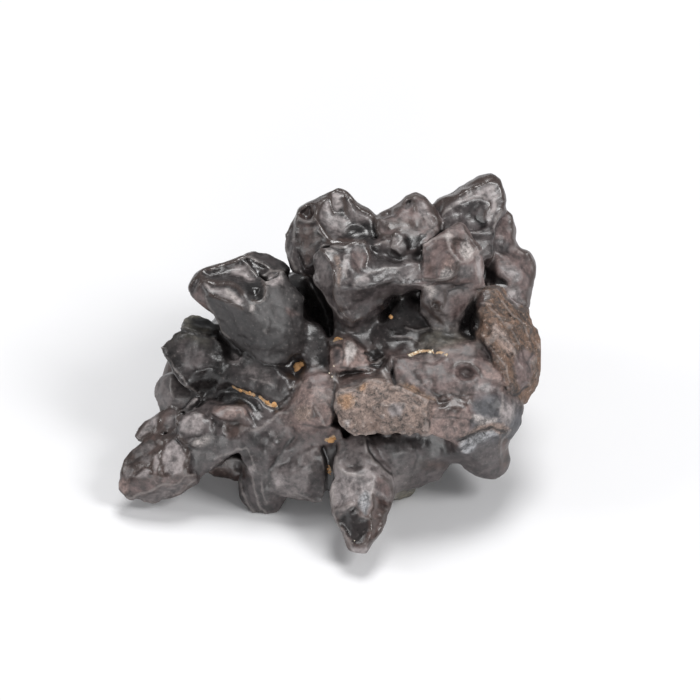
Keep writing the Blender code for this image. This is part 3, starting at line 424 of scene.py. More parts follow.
        "-6.4 12.6 0,-6.7 14.2 -0.6,-6.6 16 -1,-6 17.1 -1.4,-5 18.5 -1.8,-5.6 11.2 1.2,-4.2 10.9 2.4,-5.4 14.2 1.6,"
        "-4 17 0.6"
    ),
    Lump("a_main", Tint.SLATE, edge=0.35, blend=0.45, root=(2, 13, -7), stem=0.6, corners=
        "-4.9 18.6 -1,-4.4 20.3 -2,-2.2 21.5 -2.6,-0.4 21.9 -2.6,1.2 23 -3,2.1 22.8 -3.2,3.4 21.6 -3,5.3 20.4 -2.6,"
        "6.6 18.6 -2,6.6 16 -1,-4.8 14.6 1.6,-3.7 11.6 3,-2.2 12.6 4,-0.8 15 4.6,-1.8 18.6 2.4,-2.4 20.2 0.2,"
        "-4.6 18.3 0.8,0 15.6 4.2,4.2 15.2 4,6.6 14.6 3"
    ),
    Lump("b_front", Tint.LEAD, edge=0.3, blend=0.4, root=(3, 9, -1), stem=0.7, corners=
        "-2.4 13.6 6,-0.6 14.6 6.6,2 14.6 6.8,3.2 15.1 6.6,4.6 15.1 6.2,5.4 12 7.4,-2.7 11 6.2,-2.3 9.6 6.4,-1.1 8.3 7.2,"
        "0 6.2 7.2,1.2 4.7 7,2.4 3.8 6.8,3.4 3.5 6.6,5.7 5.6 6.4,7.3 7 6.2,10.8 9 6.2,0.4 11 9.8,0.7 9 10,4.6 9.3 9.8,"
        "3.4 12.5 8.8"
    ),
    Lump("saddle", Tint.LEAD, edge=0.35, blend=2.0, root=(8, 9, -2), stem=0.7, corners=
        "4.8 12 6.8,7.4 11.3 6.8,10 11.5 6.6,13.4 12.8 6.8,13.6 9.4 8.2,9 9.2 8.4,4.8 9 9.4,6.8 9.8 8.8,10.5 8.4 6.2"
    ),
    Lump("c_top", Tint.MAUVE, edge=0.45, blend=0.6, root=(11, 13, -6), stem=0.65, corners=
        "6.6 18.8 -1.6,7.4 19.7 -2,8.4 20.1 -2.2,9.9 20.4 -2.2,10.5 21.5 -2.6,11.6 22.4 -2.8,13.2 22.4 -2.8,14.1 21.3 -2.6,"
        "15.1 20 -2,16.2 17.4 -0.4,13.6 19 1.8,12 20.4 1.2,10.2 19.8 1.4,7.4 18.4 1.4,6.6 16.6 1.6,8.2 15 3.4,"
        "9.6 13.6 4.4,12 15.2 3.6,15 16.2 2.8"
    ),
    Lump("slope_under_c", Tint.LEAD, edge=0.8, blend=2.0, root=(9, 10, -4), stem=0.8, corners=
        "5.6 11.4 5,12.8 11.2 5,12.8 14.8 3.2,6.2 15.2 2.8,9.4 13.4 5.2"
    ),
    Lump("gap_sill", Tint.BLACK, edge=0.9, blend=1.8, root=(-2, 1, -4), stem=0.8, corners=
        "-4.6 3.4 4.8,-2.4 4.4 3.8,-0.9 3.2 3.9,-0.5 0.8 4.3,-0.6 -2.6 4.3,-2.4 -3 4.7,-4.6 0.2 5.2"
    ),
    Lump("c_foot", Tint.GREY, edge=0.3, blend=0.5, root=(11, 13, -6), stem=0.8, corners=
        "8.2 14.3 5.4,9.2 16.3 4.4,10.5 16.3 4.4,11.1 14.6 5,9.8 13.4 5.6,9.6 14.6 5.8"
    ),
    Lump("d_block", Tint.MAUVE, edge=0.2, blend=0.35, root=(17, 11, -1), stem=0.7, corners=
        "13 14.9 6.4,14.6 16 5.8,16.3 16.5 5.6,17.6 17.5 4.8,18.4 18.1 4.2,19 17.7 4.2,20.5 15.5 5,21.6 14.3 5.2,"
        "21.6 12.8 5.8,21.9 11 5.6,21.8 9.2 5.8,20.4 11 7.4,18.3 12.6 8.8,17 14.4 8.2,18.2 11.2 9,17.5 10.2 8.8,"
        "15.5 9.9 9.2,12.9 9.7 8.2,17.6 8.6 7.2,20 8.6 6.2,13 12 7.8"
    ),
    Lump("d_stem", Tint.GREY, edge=0.3, blend=0.4, root=(16, 6, -1), stem=0.7, corners=
        "12.7 9.2 7.2,15 9.6 7.8,16.8 8.9 7.6,20.4 8.6 5.8,20 7 5.6,18.8 4.6 5.2,17.8 2.6 4.8,16.6 2.3 5,14.4 3.5 5.2,"
        "12.7 5.4 5.4,12.6 7 6.6,15.6 6 7.8,14.2 8 8.2,17.4 6 7.4"
    ),
    Lump("e_wedge", Tint.LEAD, edge=0.3, blend=0.45, root=(19, 14, -7), stem=0.65, corners=
        "14.8 20.5 -4,15.9 21.7 -5,18.3 22.9 -5.6,20 24.2 -6,21.6 25 -6,23.2 25.4 -5.6,24 25 -5,25.2 22.8 -3.8,"
        "25.3 21.2 -3,24.8 19.6 -2,23.6 17.6 -0.6,22 23.9 -2.8,18.4 21.8 -1.8,16.6 19.8 -1.2,15.5 18 -0.6,17 16.4 1,"
        "20 16.6 2,22.6 16.4 1.2,23.8 21 -1.2"
    ),
    Lump("e_stem", Tint.SLATE, edge=0.5, blend=1.2, root=(18, 12, -4), stem=0.8, corners=
        "17 18 0,20 17.5 1.6,23.4 17 0.8,23.4 13 1,21 12 2.6,17 14 2.4"
    ),
    Lump("f_upper", Tint.MAUVE, edge=0.35, blend=0.4, root=(21, 13, -7), stem=0.75, corners=
        "23.4 17.8 -2.2,24.8 20.1 -4.2,25.8 19.2 -4.4,26.3 17.6 -4.4,26.5 15.4 -4,26.4 13.8 -3,22.4 16 -0.4,22.8 13 0.2,"
        "25.4 16.4 -1.6"
    ),
    Lump("f_lower", Tint.MAUVE, edge=0.4, blend=0.45, root=(21, 8, -6), stem=0.75, corners=
        "25.6 15.2 -4,27 14.6 -4,28.5 14.1 -4,29.1 13 -3.8,29.4 11.6 -3.4,29.3 10 -3,28.8 7.4 -2,28.2 5.8 -1,24.6 6.2 1.4,"
        "24.8 9.2 1,25 11.4 0.6,23 13.6 0.2,26.8 12.8 -0.2,27.2 8.6 0.8"
    ),
    Lump("neck", Tint.SLATE, edge=1.2, blend=2.6, root=(4, 3, -3), stem=0.9, corners=
        "0.6 5.2 4.6,6.6 6.4 4.2,7.6 1.2 4.4,5.6 0 5.4,0.8 0.8 4.6,3 3 5.8"
    ),
    Lump("recess_lump", Tint.BLACK, edge=1.0, blend=2.4, root=(12, 5, -4), stem=0.9, corners=
        "8.4 3.6 3.7,11 2.7 4.4,13.6 3 3.8,13.4 6 3.2,11.2 7 3.2,9 6.2 3.6"
    ),
    Lump("lip", Tint.BLACK, edge=0.7, blend=2.2, root=(11, 0, -2), stem=0.9, corners=
        "7.6 1.9 4.2,10 1.7 4.8,12 1.6 4.8,13.6 0.7 5.4,13.2 -0.6 6.4,8.4 -1.2 6.6,7.2 0.2 5.4"
    ),
    Lump("olive_lump", Tint.OLIVE, edge=0.6, blend=1.8, root=(16, 0, 0), stem=0.8, corners=
        "13 0.2 6,13.6 1.8 5.4,15.2 2.6 5.2,17.6 2.3 4.6,19.4 1 5.2,17.4 -0.6 7,14 -0.7 7.2,15.4 0.8 6.8"
    ),
    Knob("rear_left_knob", Tint.SLATE, root=(-5, 4, 15), tip=(-14, 14, 14), width=5.5, turn=0.4),
    Knob("rear_left_low", Tint.LEAD, root=(-6, 2, 12), tip=(-13, 13, 1.4), width=6, turn=1.1, taper=0.6),
    Knob("rear_mid_knob", Tint.LEAD, root=(3, 6, 18), tip=(0, 20, 21), width=5.5, turn=0.2),
    Knob("rear_mid_low", Tint.BROWN, root=(0, 4, 14), tip=(-1, 21, 9), width=6.5, turn=0.9),
    Knob("rear_right_knob", Tint.SLATE, root=(10, 6, 18), tip=(11, 21, 19), width=6.5, turn=0.7),
    Knob("rear_right_low", Tint.LEAD, root=(9, 2, 12), tip=(15, 14, 1.4), width=6.5, turn=0.3, taper=0.6),
    Knob("rear_far_right", Tint.MAUVE, root=(15, 2, 16), tip=(26, 9, 15), width=6, turn=1.4),
    Knob("low_left_side", Tint.BROWN, root=(-10, -2, 12), tip=(-23, 4, 9), width=5.5, turn=0.3),
    Knob("rear_right_side", Tint.LEAD, root=(14, -2, 11), tip=(22, 1, 5), width=5, turn=0.6),
    Knob("low_mid_lump", Tint.SLATE, root=(4, -2, 10), tip=(3, 5, 3.6), width=6.5, turn=0.5, taper=0.6),
)

# Hollows worn into the leaning face
HOLLOWS = (
    Hollow("pit_of_left_knob", (-10.4, 8.2, 8.6), (0.8, 1.4, 1.7), turn=-0.5, blend=1.1),
    Hollow("hole_in_shelf", (19.2, -3.2, 11.4), (1.7, 1.1, 2.0)),
    Hollow("crater_of_top_knob", (-3.2, 19.3, 1.2), (1.2, 1.0, 1.5)),
    Hollow("gap_under_top_knob", (4.0, 17.2, 4.6), (3.2, 2.2, 3.6), turn=0.2),
    Hollow("top_face_of_left_knob", (-15.6, 11.4, 6.2), (4.2, 1.5, 3.0), turn=0.1),
    Hollow("face_of_right_top_knob", (21.0, 20.2, 1.4), (2.6, 3.4, 2.6), turn=-0.5),
)

# Rims that stand up and are painted dark brown, partly their own polish and partly painted shade where they turn
# edge-on: height, width, route
RIMS = Stroke.read_all("""
# left upper knob
0.3 0.34:-20.1 9,-19.7 9.9,-18.2 11.1,-16 12.1,-13.8 12.7,-12.4 13.3,-11.4 13.8
0.34 0.42:-18.4 10,-16.6 9.75,-14.4 9.5,-13.1 9,-12.4 8.1
0.22 0.28:-18.4 10.9,-18.5 9.5,-19.2 8.3
0.22 0.32:-17 7.8,-15.4 7.3,-14 6.7,-12.5 5.9
0.2 0.32:-9.6 9.8,-9.1 8.6,-9.2 7.2,-10 6.7,-11.2 7
# left arm, between the worn tiles
0.26 0.34:-27.9 -12.6,-27.3 -11,-26 -9.7,-24.4 -8.9,-22.6 -8.3,-21.6 -8.6
0.22 0.36:-24 -9.2,-24.4 -10.6,-25.6 -11.9,-27.2 -12.9,-28.6 -14.4,-29.2 -15.8,-29.7 -17.6
0.22 0.32:-21.6 -9,-21.8 -10.6,-22.2 -11.7,-23.8 -11.8,-24.8 -12.4
0.24 0.34:-23.8 -12.8,-24 -14,-24.9 -14.6,-25.4 -16,-25.6 -17.6
0.22 0.3:-24.1 -14.4,-23.8 -16,-24.3 -17.8
0.22 0.3:-28.2 -16.6,-27.2 -16.2,-26.6 -16.5,-25.4 -16.2
0.24 0.4:-23.4 -12.6,-21.6 -12.6,-20.6 -13.4,-20.4 -15.4,-20.4 -17.2
# knob A
0.3 0.34:-6.4 16.4,-5.2 18.4,-4.6 19.6,-4 20.3,-2.4 21.1,-0.6 21.6,0.4 22.3,1.3 22.6
0.42 0.5:1.3 22.7,2.4 22.2,3.2 21.2,4.6 20.3,5.8 19.6,6.5 18.7
0.34 0.4:-1.5 21,-1.8 19.8,-1.6 18.4,-0.9 17.2,-0.2 15.8,0.6 15.2,2.6 15,4.8 15.3
0.25 0.3:-2.2 20.9,-1.9 19.7,-2.2 18.8
0.2 0.25:1.9 22,2 20.6,2.5 19.4
0.18 0.22:0.4 21.8,0.3 20.4,0.9 19.4
# knob B
0.34 0.32:-1.3 14.1,-0.5 13.7,0.2 12.4,0.7 10.8,0.7 9,0.6 8,1.2 6.2,2 4.7,3.2 3.9,4.6 4.3
0.3 0.34:5.2 14.4,5.5 13.4,5 12.2
# knob C
0.34 0.46:6.9 18.6,7.4 19.5,9 20.1,10 20.5,10.8 21.7,12.2 22.2,13.4 21.9,14.2 20.8,14.9 19.4,15.6 17.9
0.24 0.3:11.9 21.9,11.9 20.8,12.1 19.9
0.24 0.34:6.6 18,7 16.8,8.2 16.2,9.2 16.4,10.4 16.8
# knob D and the knob under it
0.2 0.26:17 16.5,17.4 17.4,18.2 18,19 17.7,20.2 15.7,21.2 14.4
0.22 0.28:18.1 12.7,18.3 11.6,17.7 10.4,16.9 9.9,15.4 9.9,13.3 9.9
0.22 0.28:13 8,13.3 6.4,14.4 5.2,15.8 4.2,17.2 3.2
0.22 0.28:14.2 6.7,14.9 5.6,15.8 5.7,16.4 7,16.3 8.4
# knobs E and F
0.4 0.4:15 20.5,16 21.5,17.9 22.3,20.2 24.1,22.2 24.9,23.3 25.1,24.2 24.3,24.9 22.6,24.9 21.4,24.4 20.2
0.26 0.28:15.9 19.6,16.6 20.9,17.8 21.9,19.4 22.7,21 23.7,22.6 24.2,23.9 24
0.22 0.25:22.7 21.4,22.9 20.4,22.2 19.2
0.34 0.38:24.9 20,25.8 18.8,26.2 17.4,26.3 15.6,26.9 14.5,28.2 14
0.4 0.6:28.2 13.8,29 12.6,29.1 11,28.8 9.2,28.3 7.4,27.9 6
# the shelf's hole, the flake and the spike
0.22 0.3:17.4 -2.5,18.4 -1.9,19.8 -2,21 -2.8,21.2 -3.7
0.2 0.25:21.2 8.6,22.6 9.4,24 8.8,25 7.4,26.4 6.3,27.8 5.6
0.2 0.25:24.4 -12.2,24 -13.8,24.2 -15.4,24.6 -17
0.24 0.3:7.3 -18,8.8 -18.4,9.3 -20.4,8.6 -22.4,7.6 -23.2,7.5 -25,6.4 -26.6,5.6 -27.7
0.2 0.26:6 -20.6,6.4 -22.2,5.8 -23.8,5.6 -25.6
""")

# Worn crests that stand up and are painted light, partly dust and partly painted highlight along the polished ones:
# height, width, route
CRESTS = Stroke.read_all("""
# left upper knob
0.24 0.2:-13.2 12.9,-11.8 13.1,-10.6 12.7,-9.4 12.2,-8.7 11.6
0.26 0.22:-9.7 10.4,-8.6 11.1,-7.4 11.45,-6.1 11.5
0.18 0.18:-17.7 7.5,-16.8 5.8,-16.2 4.3,-15.4 2.4,-14.4 1.3
# left crystals
0.12 0.16:-24.1 0.6,-23.2 -1,-22.2 -2.6,-21 -4.3,-20.1 -5.3,-18.6 -6.5
0.14 0.18:-22.7 -3.6,-22.9 -5.2,-22.5 -7.2
# left arm
0.22 0.2:-29.2 -21.1,-28 -21.2,-26.6 -20.3,-25.2 -19.7,-23.6 -19.2,-21.8 -18.9,-20.6 -18.1,-19.2 -17.8
0.14 0.16:-26.6 -21.7,-24.6 -21.6,-22.4 -20.8,-20.2 -19.7,-18.9 -18.4
0.2 0.24:-11.4 -11.5,-10.4 -11.2,-9.6 -10.8,-8.4 -9.8,-7.4 -9.2,-5.8 -8.9
0.16 0.18:-16.6 -15.4,-15.4 -14.9,-14.2 -14.6,-13.2 -14.1,-12.6 -14.3,-11.8 -13.9,-11.3 -14.9,-10.6 -16.4,
  -10.5 -17.4
0.14 0.16:-17.2 -17.3,-16.3 -16.2,-15.2 -15.6,-14.2 -15.4,-13 -15.8,-12 -16.8
0.16 0.22:-14.6 -8.3,-13.4 -7.9,-12.3 -8.3
# leg and low block
0.2 0.2:-12.6 -18.4,-12.4 -20.2,-11.8 -21.8,-10.6 -23.2
0.18 0.2:-11 -18.2,-10.9 -20,-10.2 -21.8,-8.9 -23.6
0.16 0.18:-9.7 -18.4,-9.5 -20.2,-8.8 -22
0.16 0.18:-3.4 -14.6,-2.4 -13.9,-1.4 -14.4,-1 -15.6,-0.9 -17.2
0.12 0.16:-5.6 -20.4,-4.8 -20.2,-3.4 -20.7,-1.8 -21.7
# knob A
0.34 0.26:-4.5 18.75,-3.8 18.45,-3 18.2,-2.4 18.4,-2.1 19
0.26 0.22:-2 18.9,-1.4 18.1,-0.9 17.2
0.26 0.22:-1.7 17.2,-1.1 16.6,-0.4 15.6
0.22 0.2:-4.8 18.4,-5 17,-5.15 15.2
0.16 0.3:-6.3 15.6,-5.9 13.4,-5.3 12.2,-4.9 11.4
0.2 0.24:-3.1 20.6,-2.5 20.2,-2.5 19.6
# knob B and the saddle
0.3 0.2:-1.2 14.4,-0.4 14.8,0.8 14.7,1.9 14.5,2.8 14.9,3.8 15.2,4.8 15
0.18 0.18:-2.4 10.2,-1.6 8.9,-0.6 7.4,0.4 5.8,1.6 4.4
0.2 0.24:2 13.4,2.1 12,2.4 10.4
0.16 0.2:3.6 9.1,4.2 9.9,5.2 10.6,6 11.2,8 11.6,10.4 11.9
0.16 0.16:1.3 8.4,2 6.4,3 4.9
# knob C
0.2 0.22:13.6 19,14.4 17.9,15.4 16.9
0.18 0.22:6.6 15.3,7.4 15.4,8.1 15.1
0.18 0.2:8.6 14.4,8.9 15.6,9.4 16.4
# knob D and the knob under it
0.24 0.2:13.2 15,14.4 15.5,15.6 16.1,16.5 16.3,17 16.9
0.3 0.24:16.6 15.9,16.9 14.8,17.4 13.8,18.1 12.9
0.24 0.22:18.3 12.7,19.4 12.7,20.4 13.3,21 14.2
0.24 0.2:21.4 14.2,20.8 13,20.7 11.6,21.2 10.4,21.5 9.6
0.18 0.2:15.6 10.2,16.6 10.15,17.4 10.4,18 11.1
0.14 0.18:10.9 10.1,11.3 10.6,11.8 11
# knobs E and F
0.24 0.2:16.1 19.2,17 20.4,18 21.2,19.4 21.9,21 22.9
0.22 0.22:24.7 20.3,24.1 19,23.5 17.6
0.2 0.26:23.3 23.4,23.5 22,23.5 20.6,23.2 19.2
0.14 0.18:26.4 15.3,26.5 14.4,27.4 13.8
# the recess and the middle
0.2 0.16:8.1 1.7,9.4 2,11 1.9,12 1.5,12.8 0.7
0.16 0.16:10.4 3,12 2.8,14 3.2,16 3
0.26 0.26:3 1,2.6 0,2.5 -1.2,2.4 -2.2
0.16 0.18:6 -1.9,6.8 -1.7,7.6 -1.2
0.18 0.2:7.2 -2.9,8 -3.8,8.6 -4.8
0.2 0.24:-1.9 -8,-1.5 -9.2,-0.9 -10.6
0.14 0.2:-5.8 -5.4,-4.8 -5.2,-4 -4.6
0.12 0.18:-11.4 -4,-10.2 -4.3,-9 -4.4,-8 -5
# the shelf, the plate's tan edge and the flake
0.2 0.18:1 -6.2,1.8 -5.4,3 -5.5,3.9 -5,4.8 -4.4,6.2 -4.2,7.4 -4.6
0.14 0.16:9 -5.3,10.6 -5.8,12.2 -6.4,13.6 -7.1,14.8 -7.3
0.16 0.16:22.3 0.8,23.4 -0.5,24.4 -1.6,25.2 -3,25.6 -4.6,26 -6
0.12 0.16:22.4 6.2,23.8 5,24.8 3.6,26.2 2.4,27.2 0.8
0.12 0.16:23 3.4,24.2 2.2,25.6 0.8,26.4 -1,27.6 -2.6
0.12 0.16:24.4 7,26 5,27.2 4,28.6 1.8
0.16 0.18:25.8 -11.6,24.8 -12.8,23.9 -14
0.14 0.18:24.3 -6.2,24.7 -7.6,23.9 -9.2
# the spike
0.26 0.26:4.9 -12.4,5.3 -14,6 -15.4,7.4 -16.8,8.7 -17.8
0.28 0.34:0.8 -15.4,0.9 -16.8,2 -17.4,3.2 -17.6,4.2 -17.6
0.26 0.28:0.1 -19.4,0.2 -21.4,0.6 -22.8,1.8 -22.4,3 -21.9
0.2 0.2:0.6 -23.2,1.3 -24.6,1.9 -26,2.7 -27.2,3.4 -28.2
0.2 0.2:4.6 -19.8,5.4 -18.8,6.6 -18
0.18 0.2:6.2 -19,6 -20.4,5.4 -21.6
""")

# Cracks and seams, cut in and dark: depth, width, route
CRACKS = Stroke.read_all("""
# left upper knob
-0.35 0.16:-16.2 2.3,-14.6 1.2,-13 0.3,-11.8 -0.6,-10.6 -1.6,-9.2 -2.1,-7.4 -2.2,-6.4 -2
-0.18 0.1:-14.9 0.9,-13.2 -0.3,-12 -1.2,-10.8 -2
-0.16 0.1:-12.8 4.3,-11.4 4.4,-10.2 3.6,-9.7 2.8
-0.14 0.09:-10.8 3,-9.7 2.4,-9.1 1.6,-8.9 0.4
-0.2 0.11:-8.8 2.5,-7.2 2.8,-6 2.2,-5 1.6,-4 2.4,-2.8 2.1
-0.16 0.1:-8.2 3,-6.8 3.5,-5.4 3.6,-4.2 4.2
-0.16 0.1:-6 2.2,-6.4 1.2,-7.6 0.4,-8.4 -0.4,-8 -1.4
-0.14 0.09:-10.2 -1,-9 -1.3,-8 -0.4
-0.25 0.22:-8.5 4.9,-8.1 3.8,-8.6 2.9
# left crystals and arm
-0.3 0.18:-22 2.9,-20.6 2.7,-19 2.2,-17.2 1.9,-15.8 2.4
-0.3 0.18:-14.6 -5.2,-13 -5.7,-11.3 -6.2,-9.8 -6.9,-8.8 -7.7,-7.2 -8.6
-0.2 0.12:-17.2 -7.4,-15.4 -7.8,-13.8 -7.6,-12 -8,-11 -9.4,-10.6 -10.6
-0.16 0.1:-12.8 -18.2,-12 -19.8,-11.3 -21.6,-9.8 -23.4
-0.16 0.1:-10.4 -18,-10.2 -20,-9.4 -22.2,-8.4 -23.6
# between the blocks
-0.2 0.16:-5.2 -12.4,-6.2 -13.8,-7.3 -15.4,-8.2 -17.2,-8.8 -18.9
-0.16 0.12:-4.6 -10.6,-2.8 -10.9,-0.8 -10.9,1 -10.8
-0.3 0.16:-0.7 -13.9,-0.35 -15.4,-0.3 -17.6,-0.4 -19.6,-0.4 -21.6
-0.18 0.12:1 -3.6,0.8 -5.2,0.7 -6.8,0.5 -8.4,0.9 -9.8
-0.14 0.1:-4 -4.2,-3.4 -5.6,-3.6 -7.2,-4.6 -8
# under knobs B and D
-0.28 0.16:6.8 8.9,9 9.5,11 9.4,12.9 9.7
-0.22 0.12:13.2 9.7,15.5 9.6,16.9 9.4,18.4 9,20.2 9.2
-0.16 0.1:16.9 8.3,18.2 8.8,19.6 8.6
-0.14 0.09:15.4 12.6,15.3 11.2,15.2 10.2
-0.18 0.12:15.2 17.6,14 16.6,12.8 15.4,12.6 13.6,12.8 11.6
# the middle
-0.3 0.18:1.4 -2.6,3.2 -2.6,5.2 -2.3,7 -2.3
-0.22 0.14:0.3 0.8,1.4 0.6,1.9 -0.6,1.5 -2.2
-0.18 0.1:4.4 -0.4,5.6 -0.7,6.4 -1.6
# the shelf and the flake
-0.35 0.14:8.8 -1.4,8.9 -2.8,9.1 -4.2,9.2 -5.2
-0.3 0.12:14.1 -7.2,14 -8.4,14.1 -9.8,13.9 -11.4
-0.14 0.09:10.6 -1.6,11.2 -3,12.4 -4.4,13.8 -5.6,15.8 -6.6
-0.12 0.08:8 -5.6,10.4 -6.3,12.4 -7.4,13.8 -8.6
-0.14 0.09:16.4 -1,17.2 -2.2
-0.14 0.09:15.6 -6.4,17.6 -6.2,19.4 -6.8,21 -6.2
-0.14 0.09:22.6 2.2,24 0.8,25.2 -0.8,26.2 -2.6,26.4 -4.6
-0.12 0.08:23.4 6.6,24.6 5.2,26 3.6,27 2,28.2 0.6
-0.12 0.08:22.8 4.4,24.4 3,25.8 1.2,27 -0.6,28.2 -2
-0.14 0.09:25.6 7,27.4 4.8,28.8 3.2
-0.2 0.12:29.2 3.4,28.6 1.6,28.8 0.2,28.2 -1.6,28.6 -3.4
-0.22 0.14:26 -6.6,27.2 -6,28.2 -5.2
-0.22 0.12:14.8 -9.6,16.6 -9.2,18.6 -9.6,20.2 -10.2
-0.3 0.16:18 -13.2,19.6 -12,21.4 -11.2,23.2 -11.1,24.8 -11.8
# under the shelf and the spike
-0.3 0.16:5.3 -12.8,5.8 -14.4,6.7 -15.8,8 -17,8.9 -17.6
-0.2 0.14:12 -13.4,12.4 -15.2,11.8 -17
-0.2 0.12:4.6 -18.2,4.4 -19.4,5.2 -20.4,5.4 -21.8,5.2 -23.4
-0.2 0.14:0.8 -23.4,2.2 -23,3.4 -22.4,4.2 -23
-0.14 0.1:3 -24.4,3.8 -25.6,4.6 -26.6
""")

